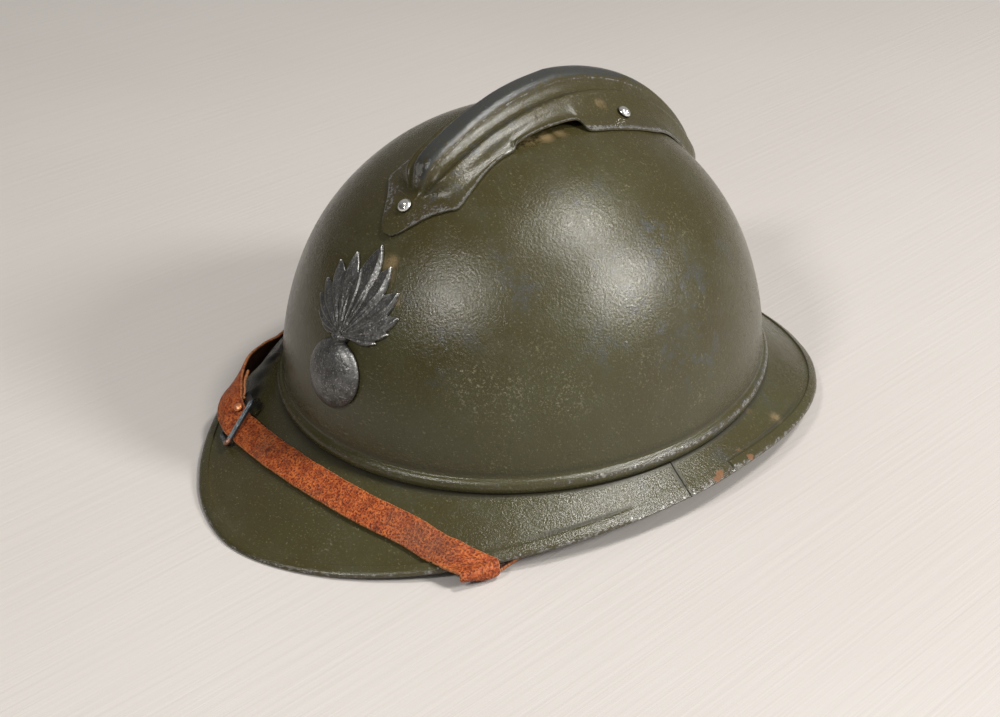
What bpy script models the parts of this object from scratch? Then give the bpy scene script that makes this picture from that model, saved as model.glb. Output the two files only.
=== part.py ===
"""A steel helmet with a ribbed comb, a raised badge, a two-piece brim and a leather chin strap.

Metres, +Z up. The helmet stands on the front and the back of its brim, with the visor towards -Y.
The origin is on the table, under the middle of the brim. Angles round the helmet are counted from
the front, towards +X; stations along its middle run from the foot of the bowl at the front (0)
over the crown (90) to the foot at the back (180).
"""
import bpy
import bmesh
from math import acos, asin, atan2, cos, degrees, hypot, pi, radians, sin, sqrt
from mathutils import Matrix, Vector

# Sheet metal and clearances
STEEL = 0.0010                  # pressed sheet with its paint
GAP = 0.0003                    # between pieces that touch

# Bowl
BOWL_WIDTH = 0.2000             # across the foot of its bead
BOWL_LENGTH = 0.2194
BOWL_HEIGHT = 0.1111            # from the foot of the bead to the crown
BOWL_FOOT = 0.0195              # height of that foot above the table
BEAD_RADIUS = 0.0035
BEAD_PROUD = 0.0006             # how far the bead stands out past its foot
BEAD_STEP = 0.0019              # how far the wall stands back from the foot
BEAD_TALL = 0.0082              # foot to the wall above the bead
VENT_LENGTH = 0.050             # slot in the crown, under the comb
VENT_WIDTH = 0.008

# Brim
BRIM_HALF = 0.1130              # half its width at the temples
VISOR_REACH = 0.1595            # from the bowl's middle to the front edge
GUARD_REACH = 0.1327            # to the back edge
SIDE_RISE = 0.0108              # how much higher the edge lies at the temples
HEM_WIDTH = 0.0050              # the folded edge
HEM_THICK = 0.0026
HEM_WORN = 0.00025              # what rubbing on tables has taken off its lowest side
TUCK = 0.0050                   # what the brim runs in under the bead
SEAM_ANGLE = 80.0               # where the visor ends and the neck guard begins
SEAM_GAP = 0.0004

# Comb
COMB_HEIGHT = 0.0154            # crest over the comb's foot, at its highest
COMB_HALF = 0.0275              # half its width at the side tabs
COMB_SEAT = 0.0006              # how closely its curved foot follows the bowl
RIB_HALF = 0.0048               # half the width of the top rib
STEP_OUT = 0.0092               # from the middle to the second rib
NOTCH_LIFT = 0.0043             # height of the air slot along each side

# Rivets
RIVET_RADIUS = 0.0029           # domed head
RIVET_DOME = 0.0018
RIVET_CLEAR = 0.0007             # under the head, where the comb's skin is curved
SHANK_RADIUS = 0.0012
RIVET_TAIL = 0.0009             # spread end inside the bowl
SIDE_RIVET_OUT = 0.0185         # from the comb's middle, round the bowl

# Badge
BALL_RADIUS = 0.0138
BALL_RELIEF = 0.0050
FLAME_LENGTH = 0.0370           # from the neck to the longest tongue
FLAME_RELIEF = 0.0024
BADGE_RIM = 0.0008              # thickness at its outline
NECK_HALF = 0.0042
FLAME_ROOT = 0.0024             # middle of the fan over the ball's top
FLAME_ASIDE = 0.0013            # and to the left of the ball's middle

# Chin strap, its buckle and the loops that hold it
STRAP_WIDTH = 0.0130
STRAP_THICK = 0.0016
STRAP_SEAT = 0.0007             # how closely it lies on the brim
FOLD_RADIUS = 0.0029            # middle of the leather, round the hem
BUCKLE_WIDTH = 0.0235           # along its bars
BUCKLE_SPAN = 0.0110            # from bar to bar
BUCKLE_WIRE = 0.0011            # radius of the bars
BUCKLE_CLEAR = 0.0013           # from a bar to the curved leather
STUD_RADIUS = 0.0019
STUD_DOME = 0.0013
FRAME_CORNER = 0.0020           # rounding of the buckle and of the loops
LOOP_WIRE = 0.0014
LOOP_SIDE = 0.0022              # from the strap's edge to the middle of the loop's side
LOOP_DEEP = 0.0110              # from the loop's bar to its back
LOOP_CLEAR = 0.0030             # from the loop to the curve of the wall
LOOP_STATION = 0.0150           # behind the middle of the bowl
LOOP_HEIGHT = 0.0045            # of its bar above the foot of the bowl
STRAP_RETURN = 0.0120           # end stitched back over the loop

# Facets
ROUND = 56                      # round the bowl and the brim
CLIMB = 11                      # up the bowl

# fullness of the bowl: how square it is in plan, and how square it rises
BOWL_FORM = {"front": (2.03, 2.24), "side": (2.13, 2.16), "back": (2.33, 2.00)}
# fullness of the brim's outline: the visor is a little pointed, the neck guard a little square
BRIM_FORM = {"visor": 1.81, "guard": 2.34}
RISE_POWER = 1.48
BRIM_HOLLOW = 0.92              # below 1, the brim falls away faster beside the bowl

# Sections of the comb. half and crest are shares of COMB_HALF and COMB_HEIGHT, lift of NOTCH_LIFT.
COMB_SECTIONS = (
    # station  half  crest  lift
    (47.0, 0.07, 0.00, 0.0),
    (48.5, 0.18, 0.00, 0.0),
    (51.5, 0.31, 0.00, 0.0),
    (54.5, 0.44, 0.01, 0.0),
    (57.2, 0.60, 0.05, 0.0),
    (58.6, 0.70, 0.16, 0.0),
    (60.0, 0.72, 0.38, 0.0),
    (61.8, 0.70, 0.58, 0.0),
    (65.0, 0.67, 0.68, 0.0),
    (69.5, 0.61, 0.72, 0.0),
    (74.0, 0.58, 0.78, 0.0),
    (78.0, 0.60, 0.82, 0.0),
    (79.4, 0.61, 0.84, 1.0),
    (83.5, 0.62, 0.90, 1.0),
    (88.5, 0.64, 0.95, 1.0),
    (93.2, 0.70, 0.99, 1.0),
    (94.8, 0.88, 1.00, 0.0),
    (100.0, 0.96, 0.95, 0.0),
    (107.0, 1.00, 0.885, 0.0),
    (114.0, 0.98, 0.835, 0.0),
    (120.0, 0.86, 0.80, 0.0),
    (128.0, 0.72, 0.765, 0.0),
    (136.0, 0.64, 0.75, 0.0),
    (141.5, 0.66, 0.72, 0.0),
    (145.0, 0.70, 0.62, 0.0),
    (147.2, 0.72, 0.42, 0.0),
    (149.0, 0.68, 0.16, 0.0),
    (152.5, 0.48, 0.02, 0.0),
    (156.5, 0.26, 0.00, 0.0),
    (159.0, 0.08, 0.00, 0.0),
)
# Half a section of the comb from its middle to the second rib: out is a share of RIB_HALF for the
# first rows and of the way on to STEP_OUT for the last two, high a share of the crest.
RIB_ROWS = ((0.0, 1.00), (0.50, 0.985), (0.84, 0.925), (1.00, 0.82))
STEP_ROWS = ((0.20, 0.66), (0.55, 0.58), (1.00, 0.53))
# The skirt from the second rib to the edge: out is the share of the way, high the share of the rib.
SKIRT_ROWS = ((0.14, 0.78), (0.30, 0.47), (0.48, 0.20), (0.70, 0.05), (1.00, 0.00))
RIVET_STATIONS = {"front": 54.0, "side": 107.0, "rear": 153.5}

# Tongues of the flame: turn from upright in degrees, length as a share of FLAME_LENGTH
TONGUES = ((-91, 0.37), (-79, 0.50), (-65, 0.63), (-51, 0.71), (-34, 0.82), (-18, 0.87), (0, 1.00),
           (16, 0.88), (36, 0.79), (55, 0.70), (69, 0.57), (84, 0.43))
BALL_STATION = 16.2             # middle of the ball on the bowl's front
BALL_ROWS = ((0.45, 0.89), (0.78, 0.62), (0.95, 0.30), (1.0, 0.0))   # out and up, as shares
# The collar between ball and flames: half its width, its height over the ball and its relief, as shares
COLLAR_ROWS = (
    # half   up     high
    (0.85, -0.290, 0.60),
    (0.95, 0.087, 1.00),
    (0.75, 0.232, 0.75),
    (0.90, 0.435, 0.95),
)

# The strap's middle over the brim, from its near fold to its far fold. out is the share of the way
# from bowl to edge, lift a share of STRAP_LIFT, tip how much its inner edge is turned up and slant
# how far a section turns from square across the strap to lying along the brim's edge.
STRAP_RUN = (
    # angle   out    lift    tip   slant
    (36.6, 1.00, 0.0000, 0.0, 1.0),
    (33.4, 0.84, 0.0000, 0.0, 0.8),
    (29.5, 0.66, 0.0000, 0.0, 0.45),
    (24.0, 0.475, 0.0000, 0.0, 0.1),
    (16.0, 0.345, 0.0000, 0.0, 0.0),
    (6.0, 0.255, 0.0000, 0.0, 0.0),
    (-4.0, 0.25, 0.0000, 0.0, 0.0),
    (-13.0, 0.32, 0.0000, 0.0, 0.0),
    (-20.0, 0.435, 0.0366, 0.0, 0.0),
    (-24.0, 0.56, 0.2927, 3.0, 0.0),
    (-27.5, 0.655, 0.7317, 9.0, 0.0),
    (-30.5, 0.68, 0.9512, 13.0, 0.0),
    (-33.5, 0.69, 1.0000, 22.0, 0.0),
    (-37.0, 0.65, 0.9756, 38.0, 0.0),
    (-40.5, 0.575, 0.8780, 48.0, 0.0),
    (-44.5, 0.45, 0.7561, 46.0, 0.0),
    (-49.0, 0.37, 0.6098, 30.0, 0.0),
    (-55.0, 0.36, 0.5366, 26.0, 0.0),
    (-61.0, 0.38, 0.5366, 28.0, 0.0),
    (-67.0, 0.44, 0.5366, 28.0, 0.0),
    (-72.0, 0.56, 0.4146, 20.0, 0.1),
    (-76.0, 0.76, 0.1951, 8.0, 0.5),
    (-79.5, 1.00, 0.0000, 0.0, 1.0),
)
STRAP_LIFT = 0.0082             # how high it stands over the brim past its buckle
BUCKLE_ANGLE = -22.2            # where the buckle's near bar lies across the strap
BUCKLE_SKEW = 26.0              # degrees the buckle has turned on the strap
STUD_SIDE = 0.30                # share of the strap's width from its middle


def on_plan(angle, reach, height):
    """The point at this angle from the front, this far from the bowl's axis."""
    return Vector((reach * sin(angle), -reach * cos(angle), height))


def by_side(angle, front, side, back):
    end = front if cos(angle) > 0 else back
    return side + (end - side) * cos(angle) ** 2


def between(table, x, column):
    """The value of one column of a table at x, on straight lines between its rows."""
    rows = table if table[0][0] < table[-1][0] else table[::-1]
    if x <= rows[0][0]:
        return rows[0][column]
    for low, high in zip(rows, rows[1:]):
        if x <= high[0]:
            share = (x - low[0]) / (high[0] - low[0])
            return low[column] + (high[column] - low[column]) * share
    return rows[-1][column]


def smooth_rows(rows, steps):
    """Rows read from a smooth curve through the given ones, with this many steps to each."""
    out = []
    for i in range(len(rows) - 1):
        a, b, c, d = (rows[min(max(i + k, 0), len(rows) - 1)] for k in (-1, 0, 1, 2))
        for s in range(steps):
            t = s / steps
            out.append(tuple(0.5 * (2 * q + (r - p) * t + (2 * p - 5 * q + 4 * r - e) * t * t
                                    + (3 * q - p - 3 * r + e) * t ** 3)
                             for p, q, r, e in zip(a, b, c, d)))
    out.append(tuple(rows[-1]))
    return out


# The bowl's wall

def foot_radius(angle):
    return 1 / hypot(sin(angle) / (BOWL_WIDTH / 2), cos(angle) / (BOWL_LENGTH / 2))


def bowl_form(angle):
    front, side, back = (BOWL_FORM[k] for k in ("front", "side", "back"))
    return tuple(by_side(angle, front[k], side[k], back[k]) for k in (0, 1))


def bowl_wall(angle, climb, inward=0.0):
    """A point of the bowl's outer wall, or this far inside it; climb is 0 at the foot, 90 at the top."""
    flat, rise = bowl_form(angle)
    turn = radians(climb)
    reach = (foot_radius(angle) - BEAD_STEP - inward) * max(cos(turn), 0) ** (2 / flat)
    return on_plan(angle, reach, BOWL_FOOT + (BOWL_HEIGHT - inward) * sin(turn) ** (2 / rise))


def outside_bowl(point):
    """How far the point lies above the bowl's outer wall, straight up; far outside it, 1."""
    angle = atan2(point.x, -point.y)
    flat, rise = bowl_form(angle)
    share = hypot(point.x, point.y) / (foot_radius(angle) - BEAD_STEP)
    if share >= 1:
        return 1.0
    wall = BOWL_FOOT + BOWL_HEIGHT * sin(acos(share ** (flat / 2))) ** (2 / rise)
    return point.z - wall


def middle_point(station):
    """The bowl's middle line: 0 at the front foot, 90 at the crown, 180 at the back foot."""
    return bowl_wall(0, station) if station <= 90 else bowl_wall(pi, 180 - station)


def middle_normal(station):
    run = middle_point(station + 0.5) - middle_point(station - 0.5)
    return Vector((0, -run.z, run.y)).normalized()


def over_bowl(station, across, height):
    """The point this far to the side of the middle line, and this high over the wall."""
    normal = middle_normal(station)
    start = middle_point(station) + Vector((across, 0, 0))
    low, high = 0.0, BOWL_HEIGHT / 2
    for _ in range(24):
        depth = (low + high) / 2
        if outside_bowl(start - normal * depth) > 0:
            low = depth
        else:
            high = depth
    return start - normal * (low - height)


def station_after(station, run):
    """The station this far along the wall from another one."""
    step = 0.25 if run > 0 else -0.25
    left = abs(run)
    while left > 0:
        piece = (middle_point(station + step) - middle_point(station)).length
        station += step * min(1, left / piece)
        left -= piece
    return station


def bead_rows(angle):
    """The outer outline of the bead from its foot up to the wall, as (reach, height)."""
    foot = foot_radius(angle)
    start = -50
    middle = (foot + BEAD_PROUD - BEAD_RADIUS, BOWL_FOOT + GAP + BEAD_RADIUS * sin(radians(-start)))
    rows = [(middle[0] + BEAD_RADIUS * cos(radians(a)), middle[1] + BEAD_RADIUS * sin(radians(a)))
            for a in (start, -25, 0, 25, 48, 65)]
    wall = foot - BEAD_STEP
    rows.append((wall + 0.2 * (rows[-1][0] - wall), rows[-1][1] + 0.3 * (BOWL_FOOT + BEAD_TALL - rows[-1][1])))
    return rows


# The brim

def edge_radius(angle):
    reach, form = (VISOR_REACH, BRIM_FORM["visor"]) if cos(angle) > 0 else (GUARD_REACH, BRIM_FORM["guard"])
    return (abs(sin(angle) / BRIM_HALF) ** form + abs(cos(angle) / reach) ** form) ** (-1 / form)


def edge_rise(angle):
    reach = VISOR_REACH if cos(angle) > 0 else GUARD_REACH
    share = edge_radius(angle) * cos(angle) / reach
    return SIDE_RISE * max(1 - share * share, 0) ** RISE_POWER


def brim_slope(angle):
    """How steeply the brim falls at its edge."""
    return atan2(BOWL_FOOT - edge_rise(angle), edge_radius(angle) - foot_radius(angle)) * BRIM_HOLLOW


# The folded edge in section: share of its width in from the edge, share of half its thickness up.
HEM_ROWS = ((1.04, 0.40), (0.97, 0.86), (0.72, 1.00), (0.24, 0.92), (0.06, 0.55), (0.00, 0.00),
            (0.06, -0.55), (0.24, -0.92), (0.72, -1.00), (0.97, -0.86), (1.04, -0.40))


def hem_rows(angle):
    """The outline of the folded edge, top to underside, as (reach, height)."""
    slope = brim_slope(angle)
    flat = [(-s * HEM_WIDTH * cos(slope) + h * HEM_THICK / 2 * sin(slope),
             s * HEM_WIDTH * sin(slope) + h * HEM_THICK / 2 * cos(slope)) for s, h in HEM_ROWS]
    drop = -min(z for _, z in flat) - HEM_WORN
    reach, rise = edge_radius(angle), edge_rise(angle) + drop
    return [(reach + r, max(rise + z, 0.0)) for r, z in flat]


def brim_top(angle, share):
    """Height of the brim's upper side at a share of the way from the bowl's foot to its edge."""
    first = hem_rows(angle)[0]
    foot = foot_radius(angle)
    part = (first[0] - foot) / (edge_radius(angle) - foot)
    return BOWL_FOOT + (first[1] - BOWL_FOOT) * max(share, 0) ** BRIM_HOLLOW / part ** BRIM_HOLLOW


def over_brim(angle, share, lift):
    """The point over the brim at this share of the way to the edge, this high above it."""
    foot = foot_radius(angle)
    hem = HEM_WIDTH / (edge_radius(angle) - foot)
    bump = (HEM_THICK - STEEL) / 2 * min(max((share - 1 + 1.6 * hem) / (0.6 * hem), 0), 1)
    return on_plan(angle, foot + (edge_radius(angle) - foot) * share, brim_top(angle, share) + lift + bump)


def brim_section(angle):
    """The brim's closed outline at this angle: out along the top, round the hem, back underneath."""
    foot = foot_radius(angle)
    hem = hem_rows(angle)
    out = [(foot - TUCK, BOWL_FOOT), (foot, BOWL_FOOT)]
    end = (hem[0][0] - foot) / (edge_radius(angle) - foot)
    for part in (0.33, 0.67):
        out.append((foot + (hem[0][0] - foot) * part, brim_top(angle, part * end)))
    under = [(r, z - STEEL) for r, z in reversed(out)]
    return [on_plan(angle, r, z) for r, z in out + hem + under]


# Meshes

def add_material(name, colour, metallic, roughness):
    material = bpy.data.materials.new(name)
    material.use_nodes = True
    shader = material.node_tree.nodes["Principled BSDF"]
    shader.inputs["Base Color"].default_value = (*colour, 1)
    shader.inputs["Metallic"].default_value = metallic
    shader.inputs["Roughness"].default_value = roughness
    material.diffuse_color = (*colour, 1)
    return material


def add_mesh(name, points, faces, material, sharp=35):
    mesh = bpy.data.meshes.new(name)
    mesh.from_pydata([tuple(p) for p in points], [], faces)
    work = bmesh.new()
    work.from_mesh(mesh)
    bmesh.ops.recalc_face_normals(work, faces=work.faces)
    work.to_mesh(mesh)
    work.free()
    mesh.shade_smooth()
    mesh.set_sharp_from_angle(angle=radians(sharp))
    mesh.materials.append(material)
    piece = bpy.data.objects.new(name, mesh)
    bpy.context.collection.objects.link(piece)
    piece.parent = helmet
    return piece


def loops_mesh(loops, closed=False):
    """Points and faces of a solid swept through outlines of equal count; open ends are capped."""
    count = len(loops[0])
    points = [p for loop in loops for p in loop]
    faces = []
    last = len(loops) if closed else len(loops) - 1
    for i in range(last):
        a, b = i * count, (i + 1) % len(loops) * count
        faces += [(a + j, a + (j + 1) % count, b + (j + 1) % count, b + j) for j in range(count)]
    if not closed:
        faces += [tuple(range(count)), tuple((len(loops) - 1) * count + j for j in reversed(range(count)))]
    return points, faces


def sheet_mesh(upper, lower):
    """Points and faces of a solid sheet between two grids of equal size."""
    rows, columns = len(upper), len(upper[0])
    points = [p for row in upper for p in row] + [p for row in lower for p in row]
    under = rows * columns
    faces = []
    for i in range(rows - 1):
        for j in range(columns - 1):
            a = i * columns + j
            quad = (a, a + 1, a + columns + 1, a + columns)
            faces += [quad, tuple(under + k for k in reversed(quad))]
    rim = [j for j in range(columns)] + [i * columns + columns - 1 for i in range(1, rows)]
    rim += [(rows - 1) * columns + j for j in range(columns - 2, -1, -1)]
    rim += [i * columns for i in range(rows - 2, 0, -1)]
    faces += [(a, under + a, under + b, b) for a, b in zip(rim, rim[1:] + rim[:1])]
    return points, faces


def hide_cutter(cutter):
    cutter.hide_render = True
    cutter.display_type = "WIRE"


def cut(piece, cutter, operation="DIFFERENCE"):
    step = piece.modifiers.new(cutter.name, "BOOLEAN")
    step.operation = operation
    step.solver = "EXACT"
    step.object = cutter
    hide_cutter(cutter)


def turned_mesh(origin, axis, outline, sides):
    """Points and faces of a turned solid: outline is (height along the axis, radius) from end to end."""
    across = axis.orthogonal().normalized()
    along = axis.cross(across)
    rings = []
    for height, radius in outline:
        rings.append([origin + axis * height + across * radius * cos(2 * pi * k / sides)
                      + along * radius * sin(2 * pi * k / sides) for k in range(sides)])
    return loops_mesh(rings)


# Pieces

def make_bowl():
    points, faces = [], []
    rings = []
    for k in range(ROUND):
        angle = 2 * pi * k / ROUND
        rise = bowl_form(angle)[1]
        inner_start = degrees(asin(STEEL / BOWL_HEIGHT)) / 8
        first = degrees(pi / 2 - acos((BEAD_TALL / BOWL_HEIGHT) ** (rise / 2)))
        inner = [bowl_wall(angle, inner_start + (90 - inner_start) * i / CLIMB, STEEL) for i in range(CLIMB)]
        inner[0].z = BOWL_FOOT + GAP
        outer = [bowl_wall(angle, first + (90 - first) * i / CLIMB) for i in range(CLIMB)]
        bead = [on_plan(angle, r, z) for r, z in bead_rows(angle)]
        rings.append(inner[::-1] + bead + outer)
    count = len(rings[0])
    for ring in rings:
        points += ring
    for k in range(ROUND):
        a, b = k * count, (k + 1) % ROUND * count
        faces += [(a + j, a + j + 1, b + j + 1, b + j) for j in range(count - 1)]
    inner_top, outer_top = len(points), len(points) + 1
    points += [bowl_wall(0, 90, STEEL), bowl_wall(0, 90)]
    for k in range(ROUND):
        a, b = k * count, (k + 1) % ROUND * count
        faces += [(inner_top, a, b), (a + count - 1, outer_top, b + count - 1)]
    bowl = add_mesh("bowl", points, faces, PAINT, 40)
    cut(bowl, make_vent_cutter())
    return bowl


def make_vent_cutter():
    """The oblong vent through the crown."""
    half = VENT_WIDTH / 2
    straight = VENT_LENGTH / 2 - half
    outline = []
    for end in (1, -1):
        for k in range(7):
            turn = pi * k / 6
            outline.append((half * cos(turn) * end, end * (straight + half * sin(turn))))
    low, high = BOWL_FOOT + BOWL_HEIGHT * 0.8, BOWL_FOOT + BOWL_HEIGHT * 1.1
    points, faces = loops_mesh([[Vector((x, y, z)) for x, y in outline] for z in (low, high)])
    return add_mesh("vent_cutter", points, faces, PAINT)


def make_brim(name, start, end):
    """One half of the brim, between two angles in degrees."""
    steps = max(round((end - start) / 360 * ROUND), 8)
    loops = []
    for i in range(steps + 1):
        angle = start + (end - start) * i / steps
        near_end = {0: 1, steps: -1}.get(i, 0)
        inset = degrees(SEAM_GAP / 2 / foot_radius(radians(angle)))
        loops.append(brim_section(radians(angle + near_end * inset)))
    return add_mesh(name, *loops_mesh(loops), PAINT, 40)


def comb_half_rows(station):
    """Half a section of the comb from the middle outwards, as (across, height)."""
    half = between(COMB_SECTIONS, station, 1) * COMB_HALF
    crest = between(COMB_SECTIONS, station, 2) * COMB_HEIGHT
    lift = between(COMB_SECTIONS, station, 3) * NOTCH_LIFT
    # the ribs draw together at each nose, where the section is narrow or low
    pinch = min(1, 0.35 + 0.65 * crest / (0.72 * COMB_HEIGHT), half / (STEP_OUT * 1.6))
    rib, step = RIB_HALF * pinch, STEP_OUT * pinch
    rows = [(share * rib, high * crest) for share, high in RIB_ROWS]
    rows += [(rib + share * (step - rib), high * crest) for share, high in STEP_ROWS]
    brow = STEP_ROWS[-1][1] * crest
    # beside the air slot the skirt ends at the slot's height
    for out, high in SKIRT_ROWS:
        rows.append((step + out * (half - step), lift + high * (brow - lift)))
    return rows


def comb_grid():
    """The comb's outer and inner surfaces, a row for each section."""
    outer, inner = [], []
    for station, *_ in COMB_SECTIONS:
        half = comb_half_rows(station)
        rows = [(-x, h) for x, h in reversed(half[1:])] + half
        top, under = [], []
        for k, (x, h) in enumerate(rows):
            before, after = rows[max(k - 1, 0)], rows[min(k + 1, len(rows) - 1)]
            run = Vector((after[0] - before[0], after[1] - before[1])).normalized()
            if k in (0, len(rows) - 1):
                run = Vector((1, 0))
            top.append(over_bowl(station, x, COMB_SEAT + STEEL + h))
            under.append(over_bowl(station, x + run.y * STEEL, COMB_SEAT + STEEL + h - run.x * STEEL))
        outer.append(top)
        inner.append(under)
    return outer, inner


def make_comb():
    outer, inner = comb_grid()
    return add_mesh("comb", *sheet_mesh(outer, inner), PAINT, 40)


def on_comb(station, across):
    rows = [(x, h) for x, h in comb_half_rows(station)]
    return over_bowl(station, across, COMB_SEAT + STEEL + between(rows, abs(across), 1))


def rivet_place(which, side=1):
    """Where a rivet's head sits on the comb, the way its shank points out, and the depth it holds."""
    station = RIVET_STATIONS[which]
    across = SIDE_RIVET_OUT * side if which == "side" else 0.0
    seat = on_comb(station, across)
    ahead = on_comb(station + 1.2, across) - on_comb(station - 1.2, across)
    beside = on_comb(station, across + RIVET_RADIUS) - on_comb(station, across - RIVET_RADIUS)
    axis = beside.cross(ahead).normalized()
    if axis.z < 0:
        axis = -axis
    through = seat - over_bowl(station, across, -STEEL)
    lean = acos(min(axis.dot(through.normalized()), 1))
    return seat, axis, through.length / cos(lean) + 2 * SHANK_RADIUS * sin(lean)


def make_rivet(name, which, side=1):
    seat, axis, held = rivet_place(which, side)
    deep = held + 3 * GAP
    tail = SHANK_RADIUS * 1.5
    outline = [(-deep - RIVET_TAIL, tail * 0.6), (-deep - RIVET_TAIL, tail), (-deep, tail), (-deep, SHANK_RADIUS),
               (RIVET_CLEAR, SHANK_RADIUS), (RIVET_CLEAR, RIVET_RADIUS)]
    outline += [(RIVET_CLEAR + RIVET_DOME * sin(radians(a)), RIVET_RADIUS * cos(radians(a))) for a in (30, 58, 80)]
    return add_mesh(name, *turned_mesh(seat, axis, outline, 10), BARE_STEEL, 50)


def make_rivet_cutter(name, which, side=1):
    """The hole for a rivet's shank, through comb and bowl."""
    seat, axis, _ = rivet_place(which, side)
    long = SHANK_RADIUS * 10
    outline = [(-long, SHANK_RADIUS + GAP), (long, SHANK_RADIUS + GAP)]
    return turned_mesh(seat, axis, outline, 10)


def make_rivets(bowl, comb):
    points, faces = [], []
    for name, which, side in RIVETS:
        make_rivet(name, which, side)
        more, sides = make_rivet_cutter(name, which, side)
        faces += [tuple(len(points) + k for k in face) for face in sides]
        points += more
    cutter = add_mesh("rivet_cutter", points, faces, PAINT)
    cut(bowl, cutter)
    cut(comb, cutter)


RIVETS = (("rivet_front", "front", 0), ("rivet_left", "side", 1), ("rivet_right", "side", -1),
          ("rivet_rear", "rear", 0))


def on_badge(across, up, height):
    """A point of the badge: across and up are measured on the bowl from the middle of the ball."""
    station = station_after(BALL_STATION, up) if up else BALL_STATION
    return over_bowl(station, across, height)


def make_badge():
    """A ball under a fan of flames, one pressed piece."""
    sides = 20
    rings = []
    seat = GAP * 1.5
    for share, high in BALL_ROWS:
        rings.append([on_badge(BALL_RADIUS * share * sin(2 * pi * k / sides),
                               BALL_RADIUS * share * cos(2 * pi * k / sides),
                               seat + BADGE_RIM + BALL_RELIEF * high) for k in range(sides)])
    rings.append([on_badge(BALL_RADIUS * sin(2 * pi * k / sides), BALL_RADIUS * cos(2 * pi * k / sides), seat)
                  for k in range(sides)])
    points = [p for ring in rings for p in ring]
    points += [on_badge(0, 0, seat + BADGE_RIM + BALL_RELIEF), on_badge(0, 0, seat)]
    faces = []
    for i in range(len(rings) - 1):
        faces += [(i * sides + k, i * sides + (k + 1) % sides, (i + 1) * sides + (k + 1) % sides,
                   (i + 1) * sides + k) for k in range(sides)]
    top, bottom, low = len(points) - 2, len(points) - 1, (len(rings) - 1) * sides
    faces += [(top, (k + 1) % sides, k) for k in range(sides)]
    faces += [(bottom, low + k, low + (k + 1) % sides) for k in range(sides)]
    badge = add_mesh("grenade_badge", points, faces, PEWTER, 30)
    cut(badge, make_flames(seat + GAP / 2), "UNION")
    return badge


def make_flames(seat):
    """The collar and the fan of tongues over it: a ridge to each tip and a notch between two."""
    root = BALL_RADIUS + FLAME_ROOT
    spokes = []
    for k, (turn, length) in enumerate(TONGUES):
        spokes.append((turn, length, 1.0))
        if k + 1 < len(TONGUES):
            next_turn, next_length = TONGUES[k + 1]
            spokes.append(((turn + next_turn) / 2, 0.70 * min(length, next_length), 0.45))
    upper, lower = [], []
    for k, (turn, length, ridge) in enumerate(spokes):
        side = 2 * k / (len(spokes) - 1) - 1
        rows = [(side * NECK_HALF * half, BALL_RADIUS * (1 + up), high * (1 - 0.5 * side * side))
                for half, up, high in COLLAR_ROWS]
        for share in (0.40, 0.70, 1.0):
            reach = share * length * FLAME_LENGTH
            rows.append((reach * sin(radians(turn)), root + reach * cos(radians(turn)),
                         ridge * (1 - share) ** 0.6 if share < 1 else 0))
        rows = [(x + FLAME_ASIDE, up, high) for x, up, high in rows]
        upper.append([on_badge(x, up, seat + BADGE_RIM + FLAME_RELIEF * high) for x, up, high in rows])
        lower.append([on_badge(x, up, seat) for x, up, _ in rows])
    return add_mesh("flame_cutter", *sheet_mesh(upper, lower), PEWTER)


# The strap

def far_share():
    """The share of its way round that the strap takes before the brim is narrower than the strap."""
    last = -STRAP_RUN[-1][0]
    turn = last
    while turn > 0 and edge_radius(radians(turn)) - foot_radius(radians(turn)) < STRAP_WIDTH:
        turn -= 0.5
    return turn / last


def strap_run(steps):
    """The rows of the strap's run on a smooth curve, with its far side as far round as the brim allows."""
    share = far_share()
    rows = [(row[0] * (share if row[0] < 0 else 1), row[1], row[2] * STRAP_LIFT, *row[3:]) for row in STRAP_RUN]
    return smooth_rows(rows, steps)


def strap_middle(row):
    angle, out, lift = row[0], row[1], row[2]
    return over_brim(radians(angle), out, STRAP_SEAT + STRAP_THICK / 2 + lift)


def edge_way(angle):
    """Along the brim's edge at this angle, and straight out from it."""
    along = on_plan(angle + 0.01, edge_radius(angle + 0.01), 0) - on_plan(angle - 0.01, edge_radius(angle - 0.01), 0)
    return along / 0.02, Vector((along.y, -along.x, 0)).normalized()


def strap_run_way(rows, i):
    """The strap's direction in plan at a row."""
    run = strap_middle(rows[min(i + 1, len(rows) - 1)]) - strap_middle(rows[max(i - 1, 0)])
    return Vector((run.x, run.y, 0)).normalized()


def strap_cross(rows, i):
    """The way across the strap at a row, from its outer to its inner edge."""
    run = strap_run_way(rows, i)
    inward = Vector((run.y, -run.x, 0))
    middle = strap_middle(rows[i])
    ends = []
    for side in (-0.4, 0.4):
        spot = middle + inward * side * STRAP_WIDTH
        turn = atan2(spot.x, -spot.y)
        share = (hypot(spot.x, spot.y) - foot_radius(turn)) / (edge_radius(turn) - foot_radius(turn))
        ends.append(brim_top(turn, min(max(share, 0), 1.0)))
    rise = atan2(ends[1] - ends[0], 0.8 * STRAP_WIDTH) + radians(rows[i][3])
    return inward * cos(rise) + Vector((0, 0, sin(rise)))


def strap_row(rows, i):
    """The points of one section over the brim, from the outer to the inner edge."""
    angle, out, lift, _, slant = rows[i]
    middle, cross = strap_middle(rows[i]), strap_cross(rows, i)
    run = strap_run_way(rows, i)
    along, _ = edge_way(radians(angle))
    sideways = run.y * along.x - run.x * along.y
    points = []
    for s in STRAP_COLUMNS:
        square = middle + cross * STRAP_WIDTH * s
        if slant > 0.001:
            turn = STRAP_WIDTH * s / sideways
            level = over_brim(radians(angle) + turn, out, STRAP_SEAT + STRAP_THICK / 2 + lift)
            square = square * (1 - slant) + level * slant
        points.append(square)
    return points


STRAP_COLUMNS = (-0.5, 0.0, 0.5)


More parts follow.
